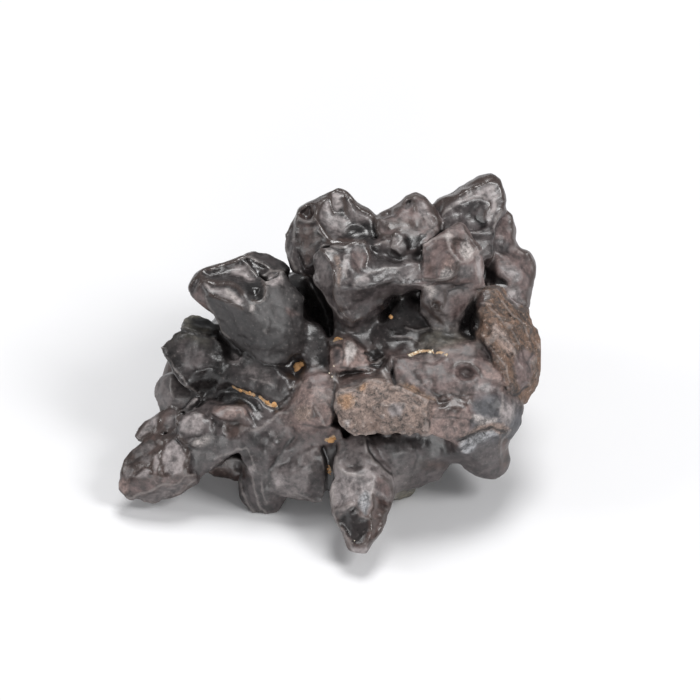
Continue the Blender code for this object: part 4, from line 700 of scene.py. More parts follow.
# Outlines: tint, rise (negative dishes), edge width, corners; later ones lie over earlier ones. The blackest patches
# and those of the recess are painted shade, and the palest are partly painted highlight.
# knob A, with painted highlights on its dished faces and painted shadow under its right side
# knob B and the saddle, with a painted highlight along B's top edge
# knob D and the knob under it, with painted highlights on their brightest dishes
# knobs E and F, with painted highlights on their dished faces and painted shadow in their hollows
# left crystals, with painted shade on their down-turned faces and in their gaps
# left upper knob, with painted highlights on its upper facets and painted shade in its pit
# the middle, with painted shade in its holes and a painted highlight on the bright knob
# the recess, painted black for the shade in it
# the spike, with painted highlights on its upper facets
# under the shelf, painted dark for the shadow under the plate's edge
PATCHES = Patch.read_all("""
# left upper knob
SLATE 0 0.4:-12.8 13.2,-11.8 13.9,-10 14,-8.2 13.5,-6.5 12.8,-8.6 11.7,-9.4 12.2,-10.6 12.7
BLACK -0.35 0.6:-12.6 12.8,-11.2 12.8,-9.4 12,-8.9 11.4,-9.9 10.6,-11.2 11.6
SLATE -0.55 1:-18 10.7,-15.6 11.8,-13.2 12.5,-12 12.2,-10.4 10.2,-11.6 9.3,-13 9.9,-15 10.2,-17.6 10.3
PALE -0.15 0.9:-14.8 11.4,-13.4 12.3,-12.2 12.2,-11 11,-10.4 9.6,-11.6 9.4,-12.6 10.4,-13.8 11
PALE -0.35 0.7:-18.3 9.4,-16.6 9.1,-14.6 8.9,-13.4 8.2,-12.2 7.4,-11.8 6.5,-12.6 6.3,-14 7,-15.6 7.6,-17.4 8.3
CHALK 0 0.6:-18.1 9.5,-17.3 9.4,-16.5 8.5,-17.2 8.4
CHALK 0 0.8:-15.1 8.8,-14 8.6,-12.9 7.5,-12.4 6.7,-13.6 6.9,-14.7 7.8
LEAD -0.2 0.5:-20.1 9,-18.8 10.6,-18.6 9.5,-19.3 8.4,-19.9 8.2
MAUVE 0 0.8:-19.9 8,-18.6 8.8,-17.5 7.3,-16.4 5,-17.4 5.5,-19.2 6.4
PALE -0.25 0.9:-9.7 10.1,-8.6 10.9,-7.2 11.2,-6.3 10.5,-6.8 9.4,-8 8.9,-9.1 9
CHALK 0 0.8:-9.4 10,-8.6 10,-8.5 9.1,-9.2 9.1
JET 0 0.6:-11.9 9.2,-10.6 9.7,-9.7 9.2,-9.3 8,-9.5 7,-10.2 6.8,-11.4 7.3,-12 8.2
CHALK 0.15 0.9:-11.8 6.5,-10.9 6.7,-10.6 5.7,-11.4 5.2
MAUVE -0.15 0.8:-6.2 5.9,-4.8 5.8,-4.2 4.8,-5.4 4.7,-6.6 5.2
# left crystals
LEAD -0.12 1.6:-22.6 1.4,-20 1.8,-17.6 0.4,-16.8 -1.6,-18.6 -2.4,-20.4 -3.6
BLACK 0 0.8:-18 2,-15.6 1.4,-15.1 -1.4,-16.2 -1.2,-16.8 0.6
JET -0.15 0.25:-20.4 -4.6,-19.3 -3.4,-17.5 -2.5,-14.7 -1.9,-14.5 -2.8,-16.4 -5.3,-17.9 -6.5,-19.2 -5.9
JET 0 0.5:-20 4.7,-18.6 4.9,-16.8 4.3,-16.4 3.2,-17.8 3.2,-19.2 3.5
JET -0.3 0.8:-16.2 -5.4,-14 -5.2,-11.5 -6.4,-9.7 -7.6,-9.2 -8.8,-10.8 -9,-12 -7.9,-15.4 -7.9,-16.8 -7
# worn tiles on the left arm
PALE 0.2 0.5:-27.7 -12.2,-27 -10.9,-25.7 -9.8,-24.6 -9.3,-24.1 -9.6,-24.7 -10.6,-26 -11.7,-27.1 -12.9
GREY 0.2 0.5:-23.8 -10.6,-23.3 -9.5,-22.4 -9.1,-21.8 -9.6,-22 -10.9,-22.7 -11.4,-23.6 -11.2
PALE 0.3 0.7:-21.5 -10.7,-20.8 -9.5,-19.2 -8.9,-18.1 -9.4,-17.9 -10.9,-18.6 -12,-20.3 -12.3,-21.4 -11.8
CHALK 0.16 0.9:-19.8 -13.1,-18.2 -12.2,-16.6 -11.5,-17.2 -13,-18.4 -13.9,-19.5 -13.8
PALE 0.28 0.4:-23.5 -13.4,-22.2 -13,-21.1 -13.9,-20.7 -15.5,-20.8 -17.2,-22.2 -17.8,-23.3 -17.4,-23.7 -16
PALE 0.24 0.4:-24.7 -14.8,-24 -14.5,-23.9 -16.1,-24.5 -17.5,-25.2 -18,-25.2 -16.6
GREY 0.18 0.4:-28.2 -14.6,-26.6 -13.3,-25.6 -12.8,-25 -13.8,-26.2 -14.8,-27.8 -15.4
GREY 0.12 0.4:-27.6 -15.8,-26.6 -15,-25.2 -14.9,-25.2 -16,-26.4 -16.2
PALE 0.26 0.4:-27.6 -17.8,-26.8 -16.8,-26 -16.8,-25.6 -17.6,-26.2 -18.2,-27.6 -18.2
GREY 0.2 0.4:-29.4 -17.6,-28.8 -16.4,-27.9 -16.8,-28.2 -17.9,-29 -18.6
ROSE 0.1 0.6:-30.3 -19.5,-29.6 -18.3,-28.3 -18.8,-28.6 -20.4,-29.5 -20.9
MAUVE 0 0.6:-28.4 -18.5,-25.6 -18.3,-22.6 -18,-20 -17.8,-21.4 -18.6,-23.6 -19.1,-25.4 -19.6,-27.4 -20.6,
  -28.6 -20.8
GREY -0.16 0.8:-28.6 -21.3,-26.6 -20.4,-23.6 -19.4,-21 -18.7,-19 -18.2,-21.4 -20.4,-24 -21.6,-27.4 -21.8
ROSE 0.22 0.5:-16.5 -8.9,-15.4 -8.2,-12.6 -8,-11.7 -8.6,-11.8 -9.8,-13.7 -9.7,-15.4 -9.7
PALE 0.1 0.6:-16.5 -9,-15.5 -8.3,-14.8 -8.5,-15 -9.5,-15.8 -9.6
BROWN -0.45 1:-15.1 -10.1,-12.1 -9.9,-11.5 -10.9,-12.6 -12.6,-14.3 -12.7,-15.3 -11.6
SLATE -0.15 0.9:-20.4 -14.8,-19.4 -14.6,-18.4 -16.2,-18.6 -18,-19.8 -17.8,-20.4 -16.4
SLATE 0 1.4:-11.8 -11.8,-9.6 -11.4,-8.2 -10.6,-7.6 -12.4,-9 -14.4,-11.6 -13.4
# leg and blocks
BROWN -0.2 0.8:-13.4 -16,-11.6 -16.6,-11 -18,-12.2 -18.4,-14 -17
PALE 0.05 1:-11.6 -16.4,-10.6 -16.2,-10.2 -17.4,-11 -18.2,-11.8 -17.4
PALE 0 1.6:-8.2 -17.8,-6.4 -17.6,-5.8 -19.2,-7.4 -19.8,-8.4 -19
LEAD -0.25 1.2:-6.6 -14.4,-4.6 -14.2,-4.4 -16.4,-5.6 -17.2,-7 -16.4
LEAD -0.25 0.9:-3.2 -18,-0.8 -17.6,-0.6 -21.4,-1.8 -21.6,-3.4 -20.4
# the middle
PALE 0.08 1:-14.6 -1,-13.4 -0.2,-12.2 -1,-13 -2,-14.4 -1.8
GREY 0 1.4:-12 -1.6,-9.4 -2.6,-7 -3.2,-7.6 -5.2,-10.4 -4.6,-12.8 -3.4
BLACK -0.7 1.2:-6.9 -2.3,-5.6 -1.2,-4 -1.4,-3.4 -2.2,-4.2 -4.4,-5.4 -4.3,-6.3 -3.4
JET -0.2 1.8:-2.6 -1.2,-1.2 -0.2,-0.2 -0.6,0 -2.2,-0.8 -3.2,-2 -2.7
MAUVE 0 1.2:-4 -3.8,-3 -2.4,-1.8 -3,-0.2 -3.7,0.5 -4.8,0.2 -6.2,-1.4 -5.2,-3 -5.6
ROUGH 0.1 0.8:-5.2 -8.6,-3.6 -7.8,-2.4 -8,-2.2 -9.6,-2.6 -10.5,-4.4 -10.2
BROWN -0.25 0.6:-2.2 -7.4,-1.6 -7.6,-1.8 -9.6,-2.6 -10.2,-2.5 -8.6
LEAD -0.12 1:0.2 0.4,1.4 0.4,1.8 -1,1.4 -2.2,0.5 -2.2,0.1 -0.8
CHALK 0.1 0.6:2.2 1.2,3.4 1,4.2 0.2,3.6 -0.6,3 -1.6,2.4 -2.2,2 -1.4,1.8 0
ROSE -0.15 0.9:3.9 0.2,5.4 -0.2,6 -1.7,4.6 -2,3.2 -1.8,3.5 -0.6
BROWN -0.3 1:2 -2.8,5 -2.6,7 -2.6,7.6 -4,5.2 -4.2,3 -4.6,1.4 -5,1.2 -3.8
JET 0 0.6:5.2 -0.2,7.2 0.4,8 -0.6,7.2 -1.4,6 -1.3
# knob A
BROWN -0.55 0.6:-4.4 19.1,-4.2 19.9,-3.2 20.7,-2.4 20.7,-2.1 19.6,-2.4 18.9,-3.2 18.5,-4.1 18.8
BROWN -0.12 1:-4.8 18.2,-2 18,-1.9 17,-0.8 16,-1 15.2,-2.2 13.8,-2.6 12.6,-3.4 11.6,-4.2 14,-4.9 15.2
PALE -0.4 0.8:-1.4 20.9,-0.2 21.6,0.3 20.6,0.9 19.4,2 19,3.2 18.6,1.9 17.2,1.5 16.2,0.4 16.2,-0.4 17.6,-1 18.8,
  -1.4 19.8
PALE -0.2 0.5:0.4 22,1.2 22.5,1.8 22,1.8 20.4,1.3 19.6,0.6 20.3
GREY -0.35 0.7:2.1 21.6,3.4 20.6,4.8 19.8,5.9 19.1,5.4 18.5,4.2 18.5,3 18.2,2.4 19.4,2.2 20.6
GREY 0 1:-0.2 17.4,1.4 17.4,3 18.2,2.4 16.4,0.6 15.9
JET -0.1 1.6:1.4 16.2,2.4 17.6,4 18.4,5.4 18.8,7 18.2,7 16,6.4 14.6,5 15.2,3.4 15.5,2.2 15.7
BROWN 0 0.4:-0.4 15.7,1.6 15.8,3.6 15.7,5 15.3,2.8 15,0.8 14.9,-0.6 15
BROWN 0 0.6:-3.9 10.6,-3 10.8,-2.6 9.4,-1.8 7.6,-0.8 5.8,-1.6 6.4,-2.8 8.2,-3.6 9.6
# knob B and the saddle
GREY -0.3 0.8:-2.2 12.6,-1.8 13.6,-1 14,-0.4 13.4,0.1 12.2,0.4 10.6,0.4 9,-0.1 8.4,-1 8.7,-1.8 9.6,-2.3 11
CHALK 0 0.3:-1 14.3,0 14.3,0.9 14.1,0.6 13.7,-0.2 13.9
ROUGH 0.05 0.5:0.2 13.6,1.2 13.6,1.7 12,1.6 10,1.4 8.6,1 9.2,1.1 11.2,0.6 12.6
PALE -0.25 0.6:1.8 13.4,2.7 13.2,2.7 11.6,2.9 10,2.1 9.8,1.8 11.4
MAUVE -0.2 0.7:3 14.4,4.4 14.6,5.2 13.4,4.8 11.8,3.8 10.8,3.1 11.8
PALE 0.05 0.9:3.5 9,4.6 9.3,6 9.3,6.2 10.2,5.2 10.9,4.4 10.6,3.8 10
LEAD -0.12 1.2:2.3 8.4,5.2 8.7,6.6 7.6,5.4 5.8,3.8 4.4,2.8 5.2,2.1 7.2
SLATE -0.25 1.8:5.4 14.6,7 15,9.4 14.2,12.8 14,12.6 12.4,10 11.8,7 11.6,5.2 12
GREY 0.1 1.2:10.2 13.4,11.4 13.7,12 12.3,11.7 11.6,10.7 11.8
# knob C
PALE -0.4 0.5:10.3 20.4,11 21.3,11.8 21.4,11.7 20.4,11.1 19.9
PALE -0.4 0.6:12.3 21.3,13.2 21.2,13.9 20,14.6 18.5,15.4 17.2,14.8 16.8,14 17.8,13.2 19,12.3 20
GREY -0.25 0.6:7.2 19.1,8.4 19.6,9.6 19.6,9.7 18.9,8.6 18.8,7.4 18.5
BROWN 0 1.4:7.2 18.2,9.8 18.8,12 19.2,13.4 18,12.8 17,10.6 16.9,8.2 16.9
GREY 0 0.8:8.5 14.6,9.1 16.1,10.1 16.3,10.4 15.2,9.8 14,8.8 13.9
JET 0 0.5:10.4 14.8,10.6 16,12 16.4,14 16.6,15.6 17.2,14.4 16.4,13 15.2,12.6 14.4,10.8 14
# knob D and the knob under it
MAUVE -0.15 0.6:13.2 14.8,14.6 15.6,16.4 15.9,16.8 14.6,15.9 13,15.4 11.6,15.2 10.2,13.5 10.1,13.2 12
BROWN 0 2:13.4 12.4,14.8 12.6,15 10.4,13.6 10.3
ROSE -0.1 0.5:17.1 13.6,17.7 12.8,18.1 12,17.6 11.3,16.6 11.4,15.8 11,16.1 12.6
CHALK -0.15 0.4:15.6 10.2,16.4 10.1,17.3 10.2,17.9 10.9,17.5 11.8,16.6 12,15.8 11.3
CHALK 0 0.25:16.2 16.2,16.9 17.1,17.2 16.3,16.6 15.7
MAUVE 0 0.3:17.2 17.1,18.2 18.1,19 17.8,19.9 16.4,18.6 16.5,17.6 16.3
BROWN -0.1 0.4:17.2 16.3,18.6 16.4,20 15.8,18.6 15.6,18.1 14.4,18.1 13.2,17.3 14.2,17 15.2
CHALK -0.36 0.45:18.5 15.4,19.6 15.8,20.7 14.6,20.2 13.4,19 12.8,18.4 13.4,18.3 14.4
PALE -0.1 0.3:21.2 13.6,21.5 12.2,21.7 10.4,21.4 9.7,20.9 10.8,20.8 12.2
GREY -0.15 0.6:18.3 12.2,19.6 12.3,20.4 12.8,20.6 11.2,20.4 10,18.2 9.7,18.2 10.8
CHALK 0.1 0.7:13.2 9,14.4 9.4,15.4 9,15 7.9,14.2 7,13.6 7.8
BROWN -0.4 0.6:14.3 6.9,15.6 7.3,16.1 6.3,15.2 5.4,14.5 6
MAUVE 0 1.2:16.8 8,19.8 8,19.6 6.4,18.4 4.6,17.4 3.6,16.8 5.4
# the recess
BLACK 0 2:6.4 7.6,8.6 9,12.4 8.8,12 7.2,10.8 6.2,9.8 4.6,9.4 3,7.2 3.2,6.2 5.2
BLACK 0 1.4:18.2 4.4,19.2 6,20.4 7.4,21.2 7.6,21.4 5,21.6 3,20.6 1.6,18.4 2.2
# knobs E and F
BROWN 0 0.4:15 20.5,16 21.6,18 22.5,20.2 24.3,22.4 25.2,24 24.6,22.6 24.1,21 23.6,19.2 22.7,17.4 21.7,16 20.2
PALE -0.3 0.7:16.2 19.8,17.4 21.2,19.4 22.4,21.4 23.5,23.4 23.9,24.2 22.8,24 20.6,23.4 18.6,22.6 18.5,22.7 19.8,
  22.9 21.2,22.2 21.7,20.4 21.4,18.4 20.8
LEAD -0.35 1.4:16.2 19,17.6 20.5,19.2 20.7,21.4 21.2,22.2 20.4,21.4 19,21 17.6,18.6 17.9,16.4 18.2
JET -0.2 0.7:20.6 19.3,22.6 18.5,22.8 17.2,21.6 17,20.8 18
MAUVE -0.15 0.7:24.6 19.2,25.6 18.6,25.9 17.2,25.6 16.2,24.6 16.6,24.2 18
LEAD -0.15 1:22.2 15.8,24.6 16.2,26.2 15.4,26 13.8,24 13.4,22.2 13.8
MAUVE -0.1 0.8:24 12.8,26.2 13.4,27.6 13,28.2 11.6,27.6 10.6,26.6 12.2,24.8 12.2
PALE -0.3 0.8:24 12.1,26.4 12,27.4 11.2,27.4 9.8,26.2 9.4,25.4 10.4,24.6 11.2
PALE -0.25 0.6:25.4 8.6,26.6 9,27.5 8.2,27.3 6.8,26.6 6.2,25.2 7.2
JET -0.3 0.5:21.8 11.8,23.4 11.4,24.6 10.4,25.3 8.8,24 9,22.6 9.9,21.9 10.4
# the plate and the shelf
ROUGH 0.35 0.25:0.9 -6.2,1.7 -5.3,2.9 -5.5,3.7 -5.3,4.6 -4.5,6 -4.1,7.4 -4.6,9 -5.1,11 -5.6,12.6 -6.3,13.8 -6.9,
  14.2 -7.6,14 -11.5,12.5 -11.1,10.5 -10.8,9.5 -11.4,8.1 -12,6.9 -11.5,6.1 -10.6,5.2 -10.3,4.5 -11.2,3.3 -11.5,
  2.2 -10.9,1.1 -9.9,0.6 -8.2
TAN 0.1 0.8:1.2 -6.4,2.8 -5.8,3.8 -6.6,3.4 -8,2 -8.4,1.2 -7.6
TAN 0 0.4:3.8 -5.3,4.8 -4.6,5.4 -4.8,4.6 -5.8
ROUGH 0.14 0.4:5.8 -5,7.8 -5.2,8.4 -6.8,7.2 -7.9,6.2 -7
ROUGH 0.14 0.4:9.2 -7.2,11.8 -7.2,13.4 -8.4,12.8 -10,10.4 -10,9 -8.8
PALE 0.06 0.9:8.8 -7.4,10.6 -7.6,10.2 -9.6,8.6 -9.8,8 -8.6
CHALK 0.06 0.4:2.2 -9.8,2.8 -9.6,2.8 -10.6,2.3 -10.6
MAUVE -0.12 0.9:9.2 -1.6,11.4 -1.2,13.4 -1.4,14.2 -3.4,12.6 -5.2,10.6 -4.8,9.4 -4.2
TAN 0 1:9.6 -4.6,11.6 -5,13.6 -6.2,15.6 -6.8,15 -7.4,12.6 -6.4,10.2 -5.6
BROWN -0.16 1.2:14.6 -6,17.4 -5.6,20.4 -6.2,20.2 -8.2,17.4 -8.8,15 -8.6
ROSE 0.1 0.9:14.8 -9.9,16.6 -9.4,19 -9.9,19.5 -11.3,18.2 -12.7,16.4 -12.1,15 -11.5
MAUVE -0.15 1:14.6 -1.4,17 -1.2,17.4 -2.6,17.4 -4.4,15.8 -5,14.6 -3.6
MAUVE -0.35 0.7:17.6 -2.4,18.8 -2.1,20.3 -2.4,21 -3.4,20.1 -4.2,18.7 -4.2,17.8 -3.6
MAUVE 0 1.2:19.8 -0.4,22.2 0.8,23.4 -0.8,22.4 -2.2,20.8 -2
ROSE 0.08 0.9:21.2 -2.8,23.6 -2.4,24.8 -3.8,24.8 -5.4,22.8 -4.2,21.4 -3.8
PALE 0.05 1:20.4 -4.8,22.4 -4.6,24 -5.8,22.4 -6.2,20.6 -5.8
BLUISH -0.2 2.2:19.4 -7.4,21.2 -6.5,23.6 -6.2,24.2 -7.6,23.8 -9.2,21.6 -9.7,19.6 -9.1
PALE 0.14 0.7:23.9 -8.2,25.2 -6.9,26.3 -7.4,26.5 -9.4,25.5 -10.7,24 -10.1
ROUGH 0.1 0.5:18 -12.6,20.2 -10.8,22.4 -10.2,24.8 -10.4,25.9 -11.6,24.4 -12.3,22 -11.5,20 -11.8
CHALK 0.1 0.5:20.2 -9.4,22.6 -9.8,23.8 -9.6,23.4 -10.4,21.2 -10.6,20.4 -10.2
DRUSE 0.22 0.4:18.1 -13.5,19.4 -12.1,21.6 -11.4,23.6 -11.5,24.2 -12.3,22.6 -12.7,21.3 -13.3,20.5 -14.5,
  19.6 -15.1,18.7 -14.5
BROWN 0 0.3:24.3 -12.6,25.6 -12.6,25.8 -16.4,24.6 -17.6,24.4 -15.4
# the rusty flake
RUST 0.16 0.25:20.8 8.2,22.6 9.6,24 8.8,25 7.2,27.6 5.6,28.8 4.3,29.7 2.6,30.2 0.6,29.5 -0.9,29.2 -2.2,
  29.6 -3.6,28.6 -5,28.4 -6.2,27.2 -7.2,26.2 -6,25.4 -4.2,24.6 -1.4,23.2 0.4,22.2 1.2,21.8 3.4,21.6 6
BROWN 0 0.8:20.4 7.4,21.6 8.8,23 8.6,22.4 7,21.6 5.4,20.8 5.6
MAUVE 0 0.9:25.8 -1.2,27.4 0.8,29.2 -0.4,28.9 -2.4,29 -3.8,27.6 -6.4,26.4 -4.8
ROUGH 0 1.4:22.2 3.4,23.4 4.2,26.2 1.4,26.8 -0.6,25.4 -1.4,24.2 0.4,22.6 1.6
# under the shelf
JET -0.3 3.4:5.6 -11.4,9.6 -11.7,13.4 -11.4,17 -13.2,17.4 -14.8,16.2 -15.4,13 -14.2,9 -14,5.8 -13.4
BROWN 0 1.6:12.2 -15.2,16.6 -15.4,17 -17,13.6 -17.2,11.4 -16.6
JET -0.5 0.6:1.2 -10.9,2.6 -11.3,3.2 -12.2,2 -12.4,1.6 -11.5
# the spike
GREY -0.35 0.9:2.2 -14.6,4.2 -14.8,4.8 -16.6,3.6 -17.4,2 -17,1.4 -15.8
PALE -0.25 0.6:0.4 -16.6,1.6 -17.3,3 -18,3.7 -19.6,3.3 -21.2,1.6 -22.3,0.6 -21.6,0.1 -19.8,0.2 -17.8
PALE -0.15 0.6:3.6 -17.7,5.6 -17.6,6.2 -18.6,4.8 -19.6,4 -19.2
MAUVE -0.15 0.7:6.6 -17.8,8.7 -18.2,9.1 -20,8.6 -21.6,7.4 -20.4,6.2 -20
BROWN -0.15 0.5:6.4 -20.6,7.6 -20.8,8.6 -22.2,7.6 -23,6.6 -22.2
DRUSE 0.12 0.4:3.9 -20.3,4.8 -19.8,5.7 -20.6,5.7 -22,5.3 -23.4,4.3 -22.8,3.8 -21.4
BROWN -0.15 0.7:5.8 -23.6,7.3 -23.6,7.3 -25,6.2 -26.6,5.5 -27.2
BLACK -0.3 0.5:1.2 -23.8,2.4 -22.9,3.6 -22.4,4.3 -23.6,5.4 -24,5.4 -26,4.8 -27.4,3.4 -27.3,2.2 -26.4
PALE 0.08 0.3:2.7 -27.6,4.8 -27.8,5.7 -27.5,5.5 -28.7,3.2 -28.7
""")

# Clay left in the creases: no height, width, route
CLAY = Stroke.read_all("""
0 0.18:-14 -5.3,-13 -5.6,-12.2 -5.8,-11.3 -6.2,-10.6 -6.5
0 0.2:-10 -6.7,-9.2 -7.2,-8.5 -7.7,-7.6 -8.2
0 0.2:0.4 1.3,0.9 1.7,1.6 1.6
0 0.22:11 -0.9,12 -0.5,12.9 -0.2,14.4 -0.3,15.6 -0.5,16.7 -0.8
0 0.34:-0.3 -13,0.2 -12.8,0.7 -12.4
0 0.16:-0.2 -16.6,-0.1 -17.6
""")


@dataclass
class StoneField:
    """The stone as a field of distances on a grid over the leaning face, in millimetres.

    The field is negative inside the stone. Its first axis runs across, its second up the rise
    and its third out.
    """

    step: float
    low: tuple = (-31.6, -30.4, -31.5)
    high: tuple = (31.6, 27.0, 16.2)
    waviness: float = 0.42
    values: np.ndarray = field(init=False)
    bumps: np.ndarray = field(init=False)
    depth: np.ndarray = field(init=False)

    def __post_init__(self) -> None:
        """Lay out the grid, empty of stone."""
        counts = [int(math.ceil((b - a) / self.step)) for a, b in zip(self.low, self.high)]
        self.values = np.full(counts, 3.0, dtype=np.float32)
        self.bumps = np.zeros(counts, dtype=np.float32)
        self.axes = [a + self.step * np.arange(n, dtype=np.float32) for a, n in zip(self.low, counts)]
        self.sway = [
            self.waviness * waves(counts, self.step, 5.0, 10 + axis)
            + 0.18 * waves(counts, self.step, 2.0, 20 + axis)
            + 0.13 * waves(counts, self.step, 1.0, 40 + axis)
            for axis in range(3)
        ]

    def block(self, low: np.ndarray, high: np.ndarray, margin: float) -> tuple:
        """The part of the grid around a box.

        Args:
            low: The box's lowest corner.
            high: The box's highest corner.
            margin: How far the part reaches past the box, in millimetres.

        Returns:
            One slice for each axis.
        """
        start = np.floor((low - margin - np.array(self.low)) / self.step).astype(int)
        stop = np.ceil((high + margin - np.array(self.low)) / self.step).astype(int) + 1
        return tuple(slice(max(a, 0), min(b, n)) for a, b, n in zip(start, stop, self.values.shape))

    def places(self, block: tuple, bent: float) -> list:
        """The coordinates over a block of the grid, bent by a share of the sway."""
        shapes = ((-1, 1, 1), (1, -1, 1), (1, 1, -1))
        plain = [axis[part].reshape(shape) for axis, part, shape in zip(self.axes, block, shapes)]
        return [place + bent * sway[block] for place, sway in zip(plain, self.sway)] if bent else plain

    def add_lump(self, lump: Lump | Knob) -> None:
        """Grow one lump into the stone.

        The lump is the softened maximum of its facets' distances, ln(sum(exp(k d))) / k, and it
        joins the stone by a softened minimum that fills the crease over its blend width.

        Args:
            lump: The lump or knob.
        """
        points = lump.points()
        facets = facet_planes(points)
        block = self.block(points.min(axis=0), points.max(axis=0), 2.4)
        x, y, z = self.places(block, bent=1.8 if lump.tint in (Tint.ROUGH, Tint.RUST) else 1.0)
        sharpness = 3.2 / lump.edge
        distances = [x * a + y * b + z * c - d for a, b, c, d in facets]
        highest = distances[0].copy()
        for distance in distances[1:]:
            np.maximum(highest, distance, out=highest)
        total = np.zeros_like(highest)
        for distance in distances:
            total += np.exp(sharpness * (distance - highest))
        solid = highest + np.log(total) / sharpness
        stone = self.values[block]
        share = np.clip(0.5 + 0.5 * (solid - stone) / lump.blend, 0.0, 1.0)
        self.values[block] = solid * (1 - share) + stone * share - lump.blend * share * (1 - share)
        self.bumps[block] = lump.tint.value[4] * (1 - share) + self.bumps[block] * share

    def carve(self, hollow: Hollow) -> None:
        """Wear a hollow into the stone: a softened maximum with the outside of an ellipsoid.

        Args:
            hollow: The hollow.
        """
        centre, half = np.array(hollow.centre), np.array(hollow.half_sizes)
        reach = np.full(3, half.max())
        block = self.block(centre - reach, centre + reach, 1.5)
        x, y, z = (place - middle for place, middle in zip(self.places(block, bent=0.0), centre))
        cos, sin = math.cos(hollow.turn), math.sin(hollow.turn)
        u, v = x * cos + y * sin, y * cos - x * sin
        radius = np.sqrt((u / half[0]) ** 2 + (v / half[1]) ** 2 + (z / half[2]) ** 2)
        slope = np.sqrt((u / half[0] ** 2) ** 2 + (v / half[1] ** 2) ** 2 + (z / half[2] ** 2) ** 2) + 1e-6
        outside = -radius * (radius - 1) / slope
        stone = self.values[block]
        share = np.clip(0.5 - 0.5 * (outside - stone) / hollow.blend, 0.0, 1.0)
        self.values[block] = outside * (1 - share) + stone * share + hollow.blend * share * (1 - share)

    def find_depth(self) -> None:
        """Find how far out the face stands, seen square on: the first crossing in each column."""
        inside = self.values < 0
        last = inside.shape[2] - 1 - np.argmax(inside[:, :, ::-1], axis=2)
        hit = inside.any(axis=2) & (last < inside.shape[2] - 1)
        row, column = np.indices(last.shape)
        here = self.values[row, column, last]
        beyond = self.values[row, column, np.minimum(last + 1, inside.shape[2] - 1)]
        part = np.where(hit, here / np.where(hit, here - beyond, 1.0), 0.0)
        self.depth = np.where(hit, self.axes[2][last] + part * self.step, self.low[2]).astype(np.float32)

    def emboss(self, relief: np.ndarray) -> None:
        """Raise the visible face by a relief, fading out 1 to 3 mm behind it.

        Args:
            relief: Heights over the face's grid, in millimetres.
        """
        behind = self.depth[:, :, None] - self.axes[2][None, None, :]
        gate = np.clip((3.0 - behind) / 2.0, 0.0, 1.0)
        self.values -= relief[:, :, None] * gate

    def roughen(self) -> None:
        """Add the stone's natural unevenness: shallow bowls with sharp rims, and finer grain.

        The bowls are waves folded at zero, 0.5 - |w|, which leaves a rim wherever w changes sign.
        The finer ones grow with the square of a lump's unevenness. From 4 to 8 mm behind the
        visible face the stone grows more uneven, and broad dents of the same kind come in.
        """
        shape = self.values.shape
        bowls = 0.30 * (0.5 - np.abs(waves(shape, self.step, 2.7, 31)))
        bowls -= 0.12 * waves(shape, self.step, 1.4, 32)
        grain = 0.16 * (0.5 - np.abs(waves(shape, self.step, 1.1, 34)))
        grain -= 0.08 * waves(shape, self.step, 0.65, 33)
        out = self.low[2] + self.step * np.arange(shape[2])
        behind = np.clip((self.depth[:, :, None] - out - 4.0) / 4.0, 0.0, 1.0)
        dents = 0.9 * (0.4 - np.abs(waves(shape, self.step, 5.5, 35)))
        self.values -= self.bumps * (1 + behind) * (bowls + self.bumps * grain) + behind * dents

    def trim(self) -> None:
        """Wear the feet flat where they stand, and keep the stone inside its own box."""
        whole = (slice(None),) * 3
        x, y, z = self.places(whole, bent=0.0)
        back = y * RISE_BACK - z * RISE_UP + FACE_CENTRE[1]
        up = y * RISE_UP + z * RISE_BACK + FACE_CENTRE[2]
        low, high = (np.array(corner) / MM for corner in CAD_BOX)
        room = 0.03
        limits = (
            (low[0] + room - x, x - high[0] + room),
            (low[1] + room - back, back - high[1] + room),
            (low[2] - up, up - high[2] + room),
        )
        for pair in limits:
            for limit in pair:
                np.maximum(self.values, limit, out=self.values)

    def sample(self, values: np.ndarray, points: np.ndarray) -> np.ndarray:
        """Read a field of the same grid at points, blending between its eight nearest values.

        Args:
            values: The field to read.
            points: Points on the leaning face, one to a row.

        Returns:
            One value for each point.
        """
        place = (points - np.array(self.low)) / self.step
        base = np.clip(np.floor(place).astype(int), 0, np.array(values.shape) - 2)
        part = np.clip(place - base, 0.0, 1.0)
        total = np.zeros(len(points))
        for corner in np.ndindex(2, 2, 2):
            weight = np.prod(np.where(np.array(corner) == 1, part, 1 - part), axis=1)
            index = base + np.array(corner)
            total += weight * values[index[:, 0], index[:, 1], index[:, 2]]
        return total


def facet_planes(points: np.ndarray) -> np.ndarray:
    """The facets of the convex solid around points.

    Args:
        points: The solid's corners, one to a row.

    Returns:
        One facet to a row: its outward direction and its distance along it.
    """
    solid = bmesh.new()
    for point in points:
        solid.verts.new(point)
    bmesh.ops.convex_hull(solid, input=solid.verts)
    bmesh.ops.dissolve_limit(solid, angle_limit=math.radians(1.0), verts=solid.verts, edges=solid.edges)
    solid.normal_update()
    directions = np.array([face.normal for face in solid.faces])
    middles = np.array([face.calc_center_median() for face in solid.faces])
    solid.free()
    inward = np.einsum("ij,ij->i", directions, middles - points.mean(axis=0)) < 0
    directions[inward] *= -1
    return np.column_stack([directions, np.einsum("ij,ij->i", directions, middles)])


